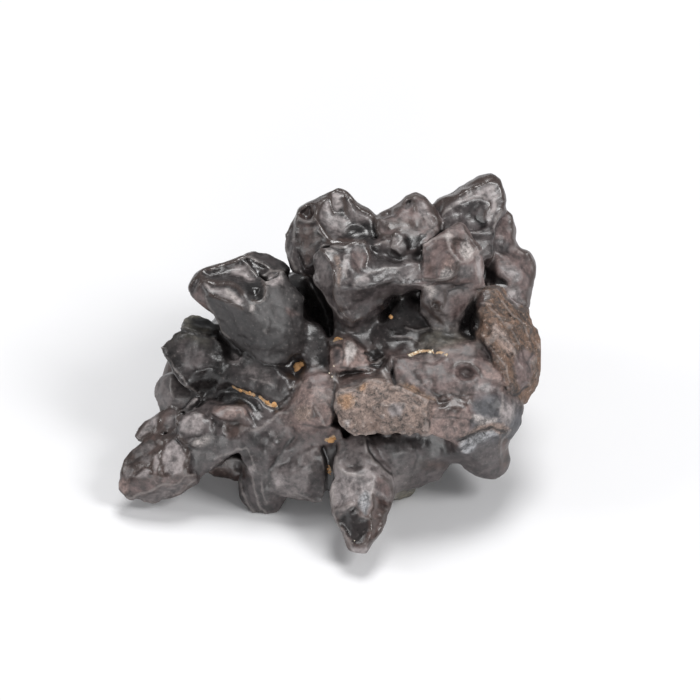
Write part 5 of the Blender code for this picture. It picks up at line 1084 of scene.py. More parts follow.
def waves(counts: tuple, step: float, length: float, seed: int) -> np.ndarray:
    """Smooth random waves over a grid.

    Random values on a coarse lattice are blended along each axis by s = t t (3 - 2 t).

    Args:
        counts: The grid's size along each axis.
        step: The grid's spacing in millimetres.
        length: The lattice's spacing, which is half a wave, in millimetres.
        seed: Which random values to draw.

    Returns:
        Values between -1 and 1 over the grid.
    """
    lattice = [int(math.ceil(count * step / length)) + 3 for count in counts]
    values = np.random.default_rng(seed).uniform(-1, 1, lattice).astype(np.float32)
    for axis, count in enumerate(counts):
        place = np.arange(count) * step / length
        base = np.floor(place).astype(int)
        part = (place - base).astype(np.float32)
        part = part * part * (3 - 2 * part)
        shape = [1] * len(counts)
        shape[axis] = -1
        part = part.reshape(shape)
        values = np.take(values, base, axis=axis) * (1 - part) + np.take(values, base + 1, axis=axis) * part
    return values


def route_distance(across: np.ndarray, rise: np.ndarray, route: np.ndarray) -> np.ndarray:
    """The distance from places on the face to a line through points.

    Args:
        across: How far across each place is.
        rise: How far up the face each place is.
        route: The line's points, one to a row.

    Returns:
        The distance to the nearest point of the line, in millimetres.
    """
    nearest = np.full(np.broadcast(across, rise).shape, 1e3, dtype=np.float32)
    for (x0, y0), (x1, y1) in zip(route, route[1:]):
        run, climb = x1 - x0, y1 - y0
        share = np.clip(((across - x0) * run + (rise - y0) * climb) / (run * run + climb * climb), 0.0, 1.0)
        nearest = np.minimum(nearest, np.hypot(across - x0 - share * run, rise - y0 - share * climb))
    return nearest


def outline_depth(across: np.ndarray, rise: np.ndarray, outline: np.ndarray) -> np.ndarray:
    """How far inside a closed outline places on the face lie; negative outside it.

    A place is inside where a line from it crosses the outline an odd number of times.

    Args:
        across: How far across each place is.
        rise: How far up the face each place is.
        outline: The outline's corners, one to a row.

    Returns:
        The distance to the outline in millimetres, positive inside.
    """
    closed = np.concatenate([outline, outline[:1]])
    inside = np.zeros(np.broadcast(across, rise).shape, dtype=bool)
    for (x0, y0), (x1, y1) in zip(closed, closed[1:]):
        spans = (y0 > rise) != (y1 > rise)
        crossing = x0 + (rise - y0) * (x1 - x0) / (y1 - y0 if y1 != y0 else 1e-9)
        inside ^= spans & (across < crossing)
    distance = route_distance(across, rise, closed)
    return np.where(inside, distance, -distance)


def smooth_step(values: np.ndarray, low: float, high: float) -> np.ndarray:
    """Rise from 0 at low to 1 at high with soft ends."""
    share = np.clip((values - low) / (high - low), 0.0, 1.0)
    return share * share * (3 - 2 * share)


def blurred(values: np.ndarray, reach: int) -> np.ndarray:
    """The mean of a field over a box of reach cells each way, one axis after another."""
    for axis in range(values.ndim):
        padding = [(0, 0)] * values.ndim
        padding[axis] = (reach + 1, reach)
        total = np.cumsum(np.pad(values, padding, mode="edge"), axis=axis, dtype=np.float64)
        ahead = [slice(None)] * values.ndim
        behind = [slice(None)] * values.ndim
        ahead[axis] = slice(2 * reach + 1, None)
        behind[axis] = slice(0, -(2 * reach + 1))
        values = ((total[tuple(ahead)] - total[tuple(behind)]) / (2 * reach + 1)).astype(np.float32)
    return values


# How steeply a drawn line falls away: the power of its distance
LINE_SHARPNESS = 1.3


@dataclass
class Face:
    """The drawing on the leaning face: its relief, and where its clay and its tints lie."""

    step: float
    low: tuple
    shape: tuple

    def __post_init__(self) -> None:
        """Lay out the face's grid, its lines bent a little so that nothing is drawn straight."""
        across = self.low[0] + self.step * np.arange(self.shape[0], dtype=np.float32)[:, None]
        rise = self.low[1] + self.step * np.arange(self.shape[1], dtype=np.float32)[None, :]
        bend = [
            0.28 * waves(self.shape, self.step, 1.9, 51 + axis) + 0.12 * waves(self.shape, self.step, 0.8, 61 + axis)
            for axis in range(2)
        ]
        self.across, self.rise = across + bend[0], rise + bend[1]

    def window(self, points: np.ndarray, margin: float) -> tuple:
        """The part of the grid around points, as one slice for each axis."""
        start = np.floor((points.min(axis=0) - margin - np.array(self.low[:2])) / self.step).astype(int)
        stop = np.ceil((points.max(axis=0) + margin - np.array(self.low[:2])) / self.step).astype(int) + 1
        return tuple(slice(max(a, 0), min(b, n)) for a, b, n in zip(start, stop, self.shape))

    def relief(self) -> np.ndarray:
        """The heights of all the rims, crests, cracks and patches, in millimetres."""
        heights = np.zeros(self.shape, dtype=np.float32)
        for patch in PATCHES:
            part, depth = self.depth_in(patch)
            if patch.rise > 0:
                heights[part] += patch.rise * smooth_step(depth, -0.5 * patch.edge, 0.5 * patch.edge)
            else:
                share = np.clip(depth / patch.edge, 0.0, 1.0)
                heights[part] += patch.rise * share * (2 - share)
        for stroke in (*RIMS, *CRESTS, *CRACKS):
            part, distance = self.distance_to(stroke)
            heights[part] += stroke.height * np.exp(-((distance / stroke.width) ** LINE_SHARPNESS))
        return heights

    def depth_in(self, patch: Patch) -> tuple:
        """The part of the grid around a patch, and how far inside the patch its places lie."""
        part = self.window(patch.outline, 1.0)
        return part, outline_depth(self.across[part], self.rise[part], patch.outline)

    def distance_to(self, stroke: Stroke) -> tuple:
        """The part of the grid around a stroke, and how far its places are from the stroke."""
        part = self.window(stroke.route, 4 * stroke.width)
        return part, route_distance(self.across[part], self.rise[part], stroke.route)

    def nearness(self, strokes: tuple) -> np.ndarray:
        """1 on any of some strokes, falling to 0 beside them by exp(-(d / width)^2)."""
        near = np.zeros(self.shape, dtype=np.float32)
        for stroke in strokes:
            part, distance = self.distance_to(stroke)
            near[part] = np.maximum(near[part], np.exp(-((distance / stroke.width) ** 2)))
        return blurred(near, 1)

    def painted(self) -> tuple:
        """Lay the patches' tints over one another in their order, with ragged edges.

        Returns:
            The colours and gloss losses, already scaled by how far they cover, and that cover.
        """
        colours = np.zeros((4, *self.shape), dtype=np.float32)
        cover = np.zeros(self.shape, dtype=np.float32)
        ragged = 0.14 * waves(self.shape, self.step, 0.5, 71)
        for patch in PATCHES:
            part, depth = self.depth_in(patch)
            share = smooth_step(depth + ragged[part], -0.15, 0.15 + 0.4 * patch.edge)
            for channel, value in zip(colours, patch.tint.value):
                channel[part] += share * (value - channel[part])
            cover[part] += share * (1 - cover[part])
        return colours, cover


def skin_of(values: np.ndarray) -> tuple:
    """The surface where a field crosses zero, as four-sided faces.

    Each grid edge whose two ends differ in sign gets a face, and each cell that such edges
    touch gets one vertex, at the mean of the crossings on its edges.

    Args:
        values: The field.

    Returns:
        The vertices in grid steps, and the faces as rows of four vertex numbers.
    """
    cells = tuple(count - 1 for count in values.shape)
    size = cells[0] * cells[1] * cells[2]
    total = np.zeros((3, size), dtype=np.float64)
    count = np.zeros(size, dtype=np.float64)
    rings = []
    for axis in range(3):
        near = [slice(None)] * 3
        far = [slice(None)] * 3
        near[axis], far[axis] = slice(0, -1), slice(1, None)
        start, stop = values[tuple(near)], values[tuple(far)]
        crossing = (start < 0) != (stop < 0)
        edge = np.argwhere(crossing)
        before, after = start[crossing], stop[crossing]
        place = edge.astype(np.float64)
        place[:, axis] += before / (before - after)
        first, second = [other for other in range(3) if other != axis]
        ring = []
        for down_first, down_second in ((0, 0), (1, 0), (1, 1), (0, 1)):
            cell = edge.copy()
            cell[:, first] -= down_first
            cell[:, second] -= down_second
            number = np.ravel_multi_index(cell.T, cells)
            ring.append(number)
            count += np.bincount(number, minlength=size)
            for other in range(3):
                total[other] += np.bincount(number, weights=place[:, other], minlength=size)
        ring = np.stack(ring, axis=1)
        backward = (before >= 0) if axis != 1 else (before < 0)
        ring[backward] = ring[backward][:, ::-1]
        rings.append(ring)
    used = count > 0
    number = np.cumsum(used) - 1
    vertices = (total[:, used] / count[used]).T
    return vertices, number[np.concatenate(rings)]


class Wire:
    """One output of a material's nodes. Python arithmetic on it adds Math nodes."""

    def __init__(self, paint: "Paint", socket: bpy.types.NodeSocket) -> None:
        """Hold the socket and the paint that it belongs to."""
        self.paint = paint
        self.socket = socket

    def __add__(self, other: "Wire | float") -> "Wire":
        """The sum of two values."""
        return self.paint.maths("ADD", self, other)

    def __sub__(self, other: "Wire | float") -> "Wire":
        """This value less another."""
        return self.paint.maths("SUBTRACT", self, other)

    def __mul__(self, other: "Wire | float") -> "Wire":
        """The product of two values."""
        return self.paint.maths("MULTIPLY", self, other)

    def __rsub__(self, other: float) -> "Wire":
        """A number less this value."""
        return self.paint.maths("SUBTRACT", other, self)

    __radd__ = __add__
    __rmul__ = __mul__


@dataclass
class Paint:
    """The nodes of one material."""

    name: str

    def __post_init__(self) -> None:
        """Start the material with no nodes."""
        self.material = bpy.data.materials.new(self.name)
        self.material.use_nodes = True
        self.tree = self.material.node_tree
        self.tree.nodes.clear()

    def node(self, kind: str, settings: dict, inputs: dict, output: str | int = 0) -> Wire:
        """Add a node.

        Args:
            kind: The node's type.
            settings: Its settings, with a colour ramp's stops as (place, grey) pairs.
            inputs: The value or the wire of each socket, by name or number.
            output: The output to hand on.

        Returns:
            The wire of that output.
        """
        made = self.tree.nodes.new(kind)
        for name, value in settings.items():
            if name == "stops":
                self.set_stops(made.color_ramp.elements, value)
            else:
                setattr(made, name, value)
        for name, value in inputs.items():
            socket = made.inputs[name]
            if isinstance(value, Wire):
                self.tree.links.new(value.socket, socket)
            else:
                socket.default_value = value
        return Wire(self, made.outputs[output])

    @staticmethod
    def set_stops(elements: bpy.types.bpy_prop_collection, stops: tuple) -> None:
        """Place a ramp's grey stops, first to last."""
        while len(elements) < len(stops):
            elements.new(1.0)
        for element, (place, grey) in zip(elements, stops):
            element.position = place
            element.color = (grey, grey, grey, 1.0)

    def maths(self, operation: str, first: Wire | float, second: Wire | float) -> Wire:
        """One Math node on two values."""
        return self.node("ShaderNodeMath", {"operation": operation}, {0: first, 1: second})

    def carried(self, name: str, output: str = "Fac") -> Wire:
        """A value or a colour that the piece's vertices carry."""
        return self.node("ShaderNodeAttribute", {"attribute_name": name}, {}, output)

    def ramp(self, value: Wire, *stops: tuple) -> Wire:
        """Bend a value along a curve of (place, value) stops."""
        return self.node("ShaderNodeValToRGB", {"stops": stops}, {"Fac": value})

    def speckle(self, place: Wire, size: float, detail: float = 2.0, roughness: float = 0.5) -> Wire:
        """Noise between 0 and 1.

        Args:
            place: Where on the piece, in metres.
            size: The spots' size in millimetres.
            detail: How many finer layers it has.
            roughness: How strong the finer layers are.

        Returns:
            The noise.
        """
        inputs = {"Vector": place, "Scale": 1 / (size * MM), "Detail": detail, "Roughness": roughness}
        return self.node("ShaderNodeTexNoise", {}, inputs, "Fac")

    def blend(self, share: Wire | float, under: Wire | tuple, over: Wire | tuple) -> Wire:
        """Lay one colour over another by a share from 0 to 1."""
        return self.node("ShaderNodeMix", {"data_type": "RGBA"}, {0: share, 6: under, 7: over}, 2)

    def scaled(self, colour: Wire | tuple, light: Wire) -> Wire:
        """A colour made lighter or darker by a value."""
        return self.node("ShaderNodeVectorMath", {"operation": "SCALE"}, {0: colour, "Scale": light})

    def finish(self, colour: Wire, roughness: Wire | float, height: Wire, strength: float, **constants: float) -> None:
        """Join colour, roughness and bump into the surface.

        Args:
            colour: The base colour.
            roughness: The roughness.
            height: The bump's height, in millimetres.
            strength: How strongly the bump shows.
            constants: Values that are the same all over, by socket name with underscores.
        """
        bump = self.node(
            "ShaderNodeBump", {}, {"Strength": strength, "Distance": MM, "Height": height}, "Normal"
        )
        inputs = {"Base Color": colour, "Roughness": roughness, "Normal": bump}
        inputs.update({name.replace("_", " "): value for name, value in constants.items()})
        surface = self.node("ShaderNodeBsdfPrincipled", {}, inputs, "BSDF")
        self.close(surface)

    def close(self, surface: Wire) -> None:
        """Send the surface to the material's output."""
        output = self.tree.nodes.new("ShaderNodeOutputMaterial")
        self.tree.links.new(surface.socket, output.inputs["Surface"])


@dataclass(frozen=True)
class IronOxideFinish:
    """Worn limonite: satin facets in greys and browns, dark brown polished rims, light crests, black cracks
    and rough rusty skin. The rims' dark is partly painted shade where they turn edge-on, the crests' light
    is partly dust and partly painted highlight, and the creases and hollows carry painted shade."""

    rim_brown_and_shade_colour: tuple = (0.048, 0.034, 0.030, 1.0)
    dust_and_highlight_colour: tuple = (0.34, 0.305, 0.29, 1.0)
    shade_and_crack_colour: tuple = (0.017, 0.0145, 0.0145, 1.0)
    speck_colour: tuple = (0.42, 0.38, 0.35, 1.0)
    clay_colour: tuple = (0.66, 0.46, 0.27, 1.0)
    stained_colour: tuple = (0.40, 0.24, 0.125, 1.0)

    def material(self) -> bpy.types.Material:
        """The material, from the values that the skin's vertices carry.

        Returns:
            The finished material.
        """
        paint = Paint("iron_oxide_worn")
        place = paint.node("ShaderNodeTexCoord", {}, {}, "Object")
        broad = paint.speckle(place, 3.2, detail=4.0, roughness=0.6)
        mottle = paint.speckle(place, 0.9, detail=5.0, roughness=0.65)
        small = paint.speckle(place, 0.45, detail=2.0, roughness=0.6)
        fine = paint.speckle(place, 0.20, detail=3.0, roughness=0.6)
        grain = paint.carried("grain")

        # the hue, a little lighter and darker in patches, and grainy where the skin is rough
        patchy = paint.ramp(broad * 0.5 + mottle * 0.5, (0.42, 0.0), (0.58, 1.0))
        light = 0.50 + patchy * 0.72 + (mottle - 0.5) * 1.0 + grain * ((fine - 0.5) * 1.5 + (small - 0.5) * 0.8)
        colour = paint.scaled(paint.carried("tint", "Color"), light)
        # light crests and worn edges: dust and wear, with painted highlight along the polished crests
        crest = paint.ramp(paint.carried("crest") + (mottle - 0.5) * 0.6, (0.34, 0.0), (0.80, 1.0))
        edge = paint.ramp(paint.carried("wear") + (mottle - 0.5) * 0.3, (0.72, 0.0), (0.92, 1.0))
        colour = paint.blend(paint.maths("MAXIMUM", crest * 0.42, edge * 0.28), colour, self.dust_and_highlight_colour)
        # dark brown rims: their own polish, with painted shade where they turn edge-on
        rim = paint.ramp(paint.carried("rim") + (mottle - 0.5) * 0.5, (0.30, 0.0), (0.70, 1.0))
        colour = paint.blend(rim * 0.85, colour, self.rim_brown_and_shade_colour)
        # painted shade in the creases and hollows, and the dark of the cracks
        dark = paint.ramp(
            paint.carried("shade") + paint.carried("crack") * 1.1 + (mottle - 0.5) * 0.3, (0.27, 0.0), (0.86, 1.0)
        )
        colour = paint.blend(dark * 0.9, colour, self.shade_and_crack_colour)
        # scattered pale specks
        speck = paint.ramp(small, (0.63, 0.0), (0.72, 1.0))
        colour = paint.blend(speck * (0.13 + grain * 0.35) * (1 - dark), colour, self.speck_colour)
        # clay and its stain in the creases
        clay = paint.ramp(paint.carried("clay") + (mottle - 0.5) * 0.9 + (fine - 0.5) * 0.4, (0.42, 0.0), (0.56, 1.0))
        colour = paint.blend(clay * 0.85, colour, paint.blend(fine, self.clay_colour, self.stained_colour))

        roughness = paint.carried("gloss") + (mottle - 0.5) * 0.3 - rim * 0.08 + clay * 0.3
        height = mottle * 0.05 + fine * 0.010 + grain * (fine * 0.06 + small * 0.08)
        paint.finish(colour, roughness, height, 1.0, IOR=1.66)
        return paint.material


@dataclass(frozen=True)
class ClayFinish:
    """Dry clay crumbs: powdery and matt, from ochre to cream."""

    bump: float = 0.6

    def material(self) -> bpy.types.Material:
        """The material, whose hue the crumbs' vertices carry.

        Returns:
            The finished material.
        """
        paint = Paint("dry_clay")
        place = paint.node("ShaderNodeTexCoord", {}, {}, "Object")
        fine = paint.speckle(place, 0.14, detail=3.0, roughness=0.7)
        tint = paint.carried("tint", "Color")
        colour = paint.scaled(tint, 0.7 + fine * 0.6)
        paint.finish(colour, 0.92, fine * 0.08, self.bump, Specular_IOR_Level=0.2)
        return paint.material


@dataclass(frozen=True)
class PaperFinish:
    """The pale paper that the stone stands on."""

    colour: tuple = (0.80, 0.80, 0.81, 1.0)

    def material(self) -> bpy.types.Material:
        """The material, with a faint tooth.

        Returns:
            The finished material.
        """
        paint = Paint("pale_paper")
        place = paint.node("ShaderNodeTexCoord", {}, {}, "Object")
        tooth = paint.speckle(place, 1.5)
        colour = paint.blend(tooth * 0.02, self.colour, (0.74, 0.74, 0.75, 1.0))
        paint.finish(colour, 0.95, tooth * 0.02, 0.1)
        return paint.material


def make_piece(name: str, points: np.ndarray, faces: np.ndarray) -> bpy.types.Object:
    """Put points and faces into a new object at the origin.

    Args:
        name: The object's name.
        points: Its vertices in metres, one to a row.
        faces: Its faces, as rows of vertex numbers.

    Returns:
        The object, linked to the scene.
    """
    mesh = bpy.data.meshes.new(name)
    corners = faces.shape[1]
    mesh.vertices.add(len(points))
    mesh.vertices.foreach_set("co", points.astype(np.float32).ravel())
    mesh.loops.add(faces.size)
    mesh.loops.foreach_set("vertex_index", faces.astype(np.int32).ravel())
    mesh.polygons.add(len(faces))
    mesh.polygons.foreach_set("loop_start", (corners * np.arange(len(faces))).astype(np.int32))
    mesh.update(calc_edges=True)
    mesh.shade_smooth()
    piece = bpy.data.objects.new(name, mesh)
    bpy.context.scene.collection.objects.link(piece)
    return piece


def carry(piece: bpy.types.Object, name: str, values: np.ndarray) -> None:
    """Give a piece's vertices a value or a colour each.

    Args:
        piece: The object.
        name: The attribute's name.
        values: One number, or one red, green and blue, for each vertex.
    """
    if values.ndim == 1:
        layer = piece.data.attributes.new(name, "FLOAT", "POINT")
        layer.data.foreach_set("value", values.astype(np.float32))
        return
    layer = piece.data.attributes.new(name, "FLOAT_COLOR", "POINT")
    rows = np.ones((len(values), 4), dtype=np.float32)
    rows[:, :3] = values
    layer.data.foreach_set("color", rows.ravel())


@dataclass
class StoneSkin:
    """The stone itself: its skin as one closed mesh, and the marks that its vertices carry."""

    step: float
    most_triangles: int = 196000
    stone: StoneField = field(init=False)
    face: Face = field(init=False)

    def grow(self) -> None:
        """Grow the lumps together, wear the hollows in and emboss the face."""
        self.stone = StoneField(self.step)
        for lump in LUMPS:
            self.stone.add_lump(lump)
        for hollow in HOLLOWS:
            self.stone.carve(hollow)
        self.stone.find_depth()
        across, rise = self.stone.values.shape[:2]
        self.face = Face(self.step / 2, self.stone.low, (2 * across - 1, 2 * rise - 1))
        relief = self.face.relief()
        self.stone.emboss(blurred(relief, 1)[::2, ::2])
        self.stone.roughen()
        self.stone.trim()

    def build(self) -> bpy.types.Object:
        """Skin the field and thin it to the triangles it may have.

        Returns:
            The stone's object, at the origin.
        """
        vertices, faces = skin_of(self.stone.values)
        on_face = np.array(self.stone.low) + vertices * self.step
        points = face_to_ground(on_face) * MM
        raw = make_piece("limonite_skin", points, faces)
        if 2 * len(faces) > self.most_triangles:
            thin = raw.modifiers.new("thin", "DECIMATE")
            thin.ratio = self.most_triangles / (2 * len(faces))
            thinned = bpy.data.meshes.new_from_object(raw.evaluated_get(bpy.context.evaluated_depsgraph_get()))
            raw.modifiers.clear()
            raw.data = thinned
        low, high = (np.array(corner) for corner in CAD_BOX)
        count = len(raw.data.vertices)
        places = np.empty(3 * count, dtype=np.float32)
        raw.data.vertices.foreach_get("co", places)
        places = np.clip(places.reshape(-1, 3), low, high)
        raw.data.vertices.foreach_set("co", places.ravel())
        raw.data.update()
        raw.data.shade_smooth()
        return raw

    def dress(self, piece: bpy.types.Object) -> None:
        """Mark the skin's vertices and give it its finish.

        Args:
            piece: The stone's object.
        """
        count = len(piece.data.vertices)
        places = np.empty(3 * count, dtype=np.float32)
        piece.data.vertices.foreach_get("co", places)
        points = ground_to_face(places.reshape(-1, 3) / MM)
        normals = np.empty(3 * count, dtype=np.float32)
        piece.data.vertices.foreach_get("normal", normals)
        outward = ground_to_face(normals.reshape(-1, 3)) - ground_to_face(np.zeros((1, 3)))

        bend = self.bend_at(points)
        shade = self.shade_at(points, outward)
        front = self.frontness(points)
        hue, loss, grain = self.hues(points, front)
        carry(piece, "tint", hue)
        carry(piece, "wear", np.clip(0.5 + 2.2 * bend, 0.0, 1.0))
        carry(piece, "shade", np.clip(shade - 1.2 * np.minimum(bend, 0.0), 0.0, 1.0))
        carry(piece, "gloss", 0.31 + 0.45 * loss)
        carry(piece, "grain", grain)
        # The rims' nearness darkens them, partly as painted shade; the crests' nearness lightens them, partly as
        # painted highlight
        for name, strokes in (("rim", RIMS), ("crest", CRESTS), ("crack", CRACKS), ("clay", CLAY)):
            carry(piece, name, self.on_face(self.face.nearness(strokes), points) * front)
        piece.data.materials.clear()
        piece.data.materials.append(IronOxideFinish().material())

    def bend_at(self, points: np.ndarray) -> np.ndarray:
        """How sharply the skin bends out (positive) or in at points: the mean distance nearby."""
        near = blurred(np.clip(self.stone.values, -1.5, 1.5), max(1, round(0.6 / self.step)))
        return self.stone.sample(near, points)

    def shade_at(self, points: np.ndarray, outward: np.ndarray) -> np.ndarray:
        """How much stone stands around points: the filled share of the space in front of them.

        Args:
            points: Places on the skin, on the leaning face.
            outward: The skin's directions there.

        Returns:
            The share at 1.5 and 3.5 mm out, from 0 to 1.
        """
        filled = np.clip(0.5 - self.stone.values / 0.6, 0.0, 1.0).astype(np.float32)
        close = blurred(filled, max(1, round(1.1 / self.step)))
        wide = blurred(close, max(1, round(2.2 / self.step)))
        return 0.5 * self.stone.sample(close, points + 1.3 * outward) * 2.0 + 0.8 * self.stone.sample(
            wide, points + 3.2 * outward
        )

    def on_face(self, drawing: np.ndarray, points: np.ndarray) -> np.ndarray:
        """Read a drawing on the leaning face at points, from its four nearest values."""
        place = (points[:, :2] - np.array(self.face.low[:2])) / self.face.step
        base = np.clip(np.floor(place).astype(int), 0, np.array(self.face.shape) - 2)
        part = np.clip(place - base, 0.0, 1.0)
        total = np.zeros(len(points))
        for right, up in np.ndindex(2, 2):
            weight = (part[:, 0] if right else 1 - part[:, 0]) * (part[:, 1] if up else 1 - part[:, 1])
            total += weight * drawing[base[:, 0] + right, base[:, 1] + up]
        return total

    def frontness(self, points: np.ndarray) -> np.ndarray:
        """1 on the visible face, falling to 0 from 1 to 3 mm behind it."""
        place = np.clip(np.round((points[:, :2] - np.array(self.stone.low[:2])) / self.step).astype(int), 0, None)
        limit = np.array(self.stone.depth.shape) - 1
        place = np.minimum(place, limit)
        behind = self.stone.depth[place[:, 0], place[:, 1]] - points[:, 2]
        return np.clip((3.0 - behind) / 2.0, 0.0, 1.0)

    def hues(self, points: np.ndarray, front: np.ndarray) -> tuple:
        """Mix the hues of the lumps and patches that points lie on.

        Each lump counts by exp(-d / 0.6) of its distance d beyond the nearest lump's, and the
        patches' painting covers the visible face.

        Args:
            points: Places on the skin, on the leaning face.
            front: How far each is on the visible face, from 0 to 1.

        Returns:
            The colours, the gloss losses and the grain.
        """
        swaying = points + 2.2 * np.stack([self.stone.sample(sway, points) for sway in self.stone.sway], axis=1)
        distances = []
        for lump in LUMPS:
            planes = facet_planes(lump.points())
            distances.append((swaying @ planes[:, :3].T - planes[:, 3]).max(axis=1))
        distances = np.stack(distances, axis=1)
        weight = np.exp(-(distances - distances.min(axis=1, keepdims=True)) / 0.6)
        weight /= weight.sum(axis=1, keepdims=True)
        mixed = weight @ np.array([lump.tint.value[:4] for lump in LUMPS])
        colours, cover = self.face.painted()
        mixed *= 1 - (self.on_face(cover, points) * front)[:, None]
        mixed += np.stack([self.on_face(channel, points) * front for channel in colours], axis=1)
        loss = mixed[:, 3]
        return mixed[:, :3], loss, smooth_step(loss, 0.35, 0.8)


class Clay(Enum):
    """The hues of the clay crumbs, as linear red, green and blue."""

    OCHRE = (0.52, 0.29, 0.13)
    CREAM = (0.74, 0.66, 0.52)


@dataclass(frozen=True)
class Crumb:
    """A crumb of clay on the leaning face: across, rise, its width and its hue."""

    across: float
    rise: float
    width: float
    clay: Clay


# Beyond this, across the face, the strewn crumbs are cream
CREAM_FROM = 10.0

# Crumbs that stand out one by one
CRUMBS = (
    Crumb(-7.3, -8.2, 0.9, Clay.CREAM),
    Crumb(-8.0, -7.9, 1.3, Clay.OCHRE),
    Crumb(-8.9, -7.5, 0.8, Clay.OCHRE),
    Crumb(-9.6, -7.0, 0.5, Clay.OCHRE),
    Crumb(-11.6, -6.1, 0.9, Clay.OCHRE),
    Crumb(-10.8, -6.4, 0.5, Clay.OCHRE),
    Crumb(-12.7, -5.7, 0.6, Clay.OCHRE),
    Crumb(-3.9, -2.0, 1.1, Clay.OCHRE),
    Crumb(-4.5, -2.5, 2.0, Clay.OCHRE),
    Crumb(8.7, 4.7, 0.7, Clay.OCHRE),
    Crumb(0.9, 1.7, 0.5, Clay.OCHRE),
    Crumb(11.3, -0.8, 0.5, Clay.CREAM),
    Crumb(12.2, -0.4, 0.5, Clay.CREAM),
    Crumb(13.0, -0.2, 0.4, Clay.CREAM),
    Crumb(14.2, -0.3, 0.4, Clay.CREAM),
    Crumb(15.5, -0.5, 0.4, Clay.CREAM),
    Crumb(16.5, -0.8, 0.4, Clay.CREAM),
    Crumb(0.0, -3.3, 0.35, Clay.CREAM),
    Crumb(0.3, -3.8, 0.3, Clay.CREAM),
    Crumb(0.6, -2.3, 0.3, Clay.CREAM),
    Crumb(0.2, -12.7, 1.1, Clay.OCHRE),
    Crumb(0.7, -12.5, 0.6, Clay.OCHRE),
    Crumb(0.1, -17.3, 0.4, Clay.OCHRE),
    Crumb(3.5, -26.9, 0.35, Clay.CREAM),
)


@dataclass
class ClayCrumbs:
    """The dry clay left on the stone, as small lumpy crumbs that sit half sunk in its skin."""

    skin: StoneSkin
    around: int = 10
    down: int = 7
    strewn_each: int = 9

    def build(self) -> bpy.types.Object:
        """Lay every crumb on the skin and join them.

        Each crumb is a ball whose radius swells by sines of its two angles, flattened to six
        tenths and sunk by a seventh of its width.

        Returns:
            The crumbs' object, at the origin.
        """
        crumbs = [crumb for crumb in (*CRUMBS, *self.strewn()) if self.carried_by_stone(crumb)]
        turn = 2 * math.pi * np.arange(self.around) / self.around
        fall = math.pi * np.arange(1, self.down) / self.down
        ring = np.sin(fall)[:, None]
        ball = np.stack([ring * np.cos(turn), ring * np.sin(turn), np.repeat(np.cos(fall)[:, None], self.around, 1)], 2)
        ball = np.concatenate([[[0, 0, 1]], ball.reshape(-1, 3), [[0, 0, -1]]])
        faces = self.ball_faces()
        points, links, hues = [], [], []
        for number, crumb in enumerate(crumbs):
            swell = 1 + 0.16 * np.sin(3 * ball[:, 0] + number) * np.cos(4 * ball[:, 1] + 2 * number)
            swell += 0.14 * np.sin(5 * ball[:, 2] + 3 * ball[:, 0] + 1.7 * number)
            size = 0.5 * crumb.width * np.array([1.0, 0.75 + 0.2 * math.sin(2.3 * number), 0.6])
            angle = 1.3 * number
            flat = ball * swell[:, None] * size
            spun = np.stack([
                flat[:, 0] * math.cos(angle) - flat[:, 1] * math.sin(angle),
                flat[:, 0] * math.sin(angle) + flat[:, 1] * math.cos(angle),
                flat[:, 2],
            ], 1)
            out = self.depth_at(crumb) - crumb.width / 7
            points.append(spun + np.array([crumb.across, crumb.rise, out]))
            links.append(faces + number * len(ball))
            hues.append(np.tile(crumb.clay.value, (len(ball), 1)) * (0.85 + 0.3 * (math.sin(5.1 * number) ** 2)))
        piece = make_piece("clay_crumbs", face_to_ground(np.concatenate(points)) * MM, np.concatenate(links))
        carry(piece, "tint", np.concatenate(hues))
        piece.data.materials.append(ClayFinish().material())
        return piece

    def ball_faces(self) -> np.ndarray:
        """The triangles of a ball whose rings run from its top point to its bottom one."""
        rows = self.down - 1
        ring = np.arange(self.around)
        ahead = (ring + 1) % self.around
        top = np.stack([np.zeros_like(ring), 1 + ring, 1 + ahead], 1)
        last = 1 + (rows - 1) * self.around
        bottom = np.stack([np.full_like(ring, 1 + rows * self.around), last + ahead, last + ring], 1)
        upper = (1 + np.arange(rows - 1)[:, None] * self.around + ring).ravel()
        upper_ahead = (1 + np.arange(rows - 1)[:, None] * self.around + ahead).ravel()
        lower, lower_ahead = upper + self.around, upper_ahead + self.around
        sides = np.concatenate([np.stack([upper, lower, lower_ahead], 1), np.stack([upper, lower_ahead, upper_ahead], 1)])
        return np.concatenate([top, sides, bottom])

    def strewn(self) -> list:
        """Small crumbs strewn beside each line of clay, the same on every run."""
        dice = np.random.default_rng(7)
        crumbs = []
        for stroke in CLAY:
            for _ in range(self.strewn_each):
                start = dice.integers(0, len(stroke.route) - 1)
                before, after = stroke.route[start : start + 2]
                place = before + dice.uniform() * (after - before)
                place = place + dice.normal(0.0, 0.6 * stroke.width, 2)
                clay = Clay.CREAM if before[0] > CREAM_FROM else Clay.OCHRE
                crumbs.append(Crumb(place[0], place[1], dice.uniform(0.14, 0.42), clay))
        return crumbs

    def depth_at(self, crumb: Crumb) -> float:
        """How far out the stone's face stands under a crumb, in millimetres."""
        column = np.round((np.array([crumb.across, crumb.rise]) - np.array(self.skin.stone.low[:2])) / self.skin.step)
        return float(self.skin.stone.depth[int(column[0]), int(column[1])])

    def carried_by_stone(self, crumb: Crumb) -> bool:
        """Whether there is stone under a crumb."""
        return self.depth_at(crumb) > self.skin.stone.low[2] + 1

    def __post_init__(self) -> None:
        """Find the face again, now that it is embossed."""
        self.skin.stone.find_depth()


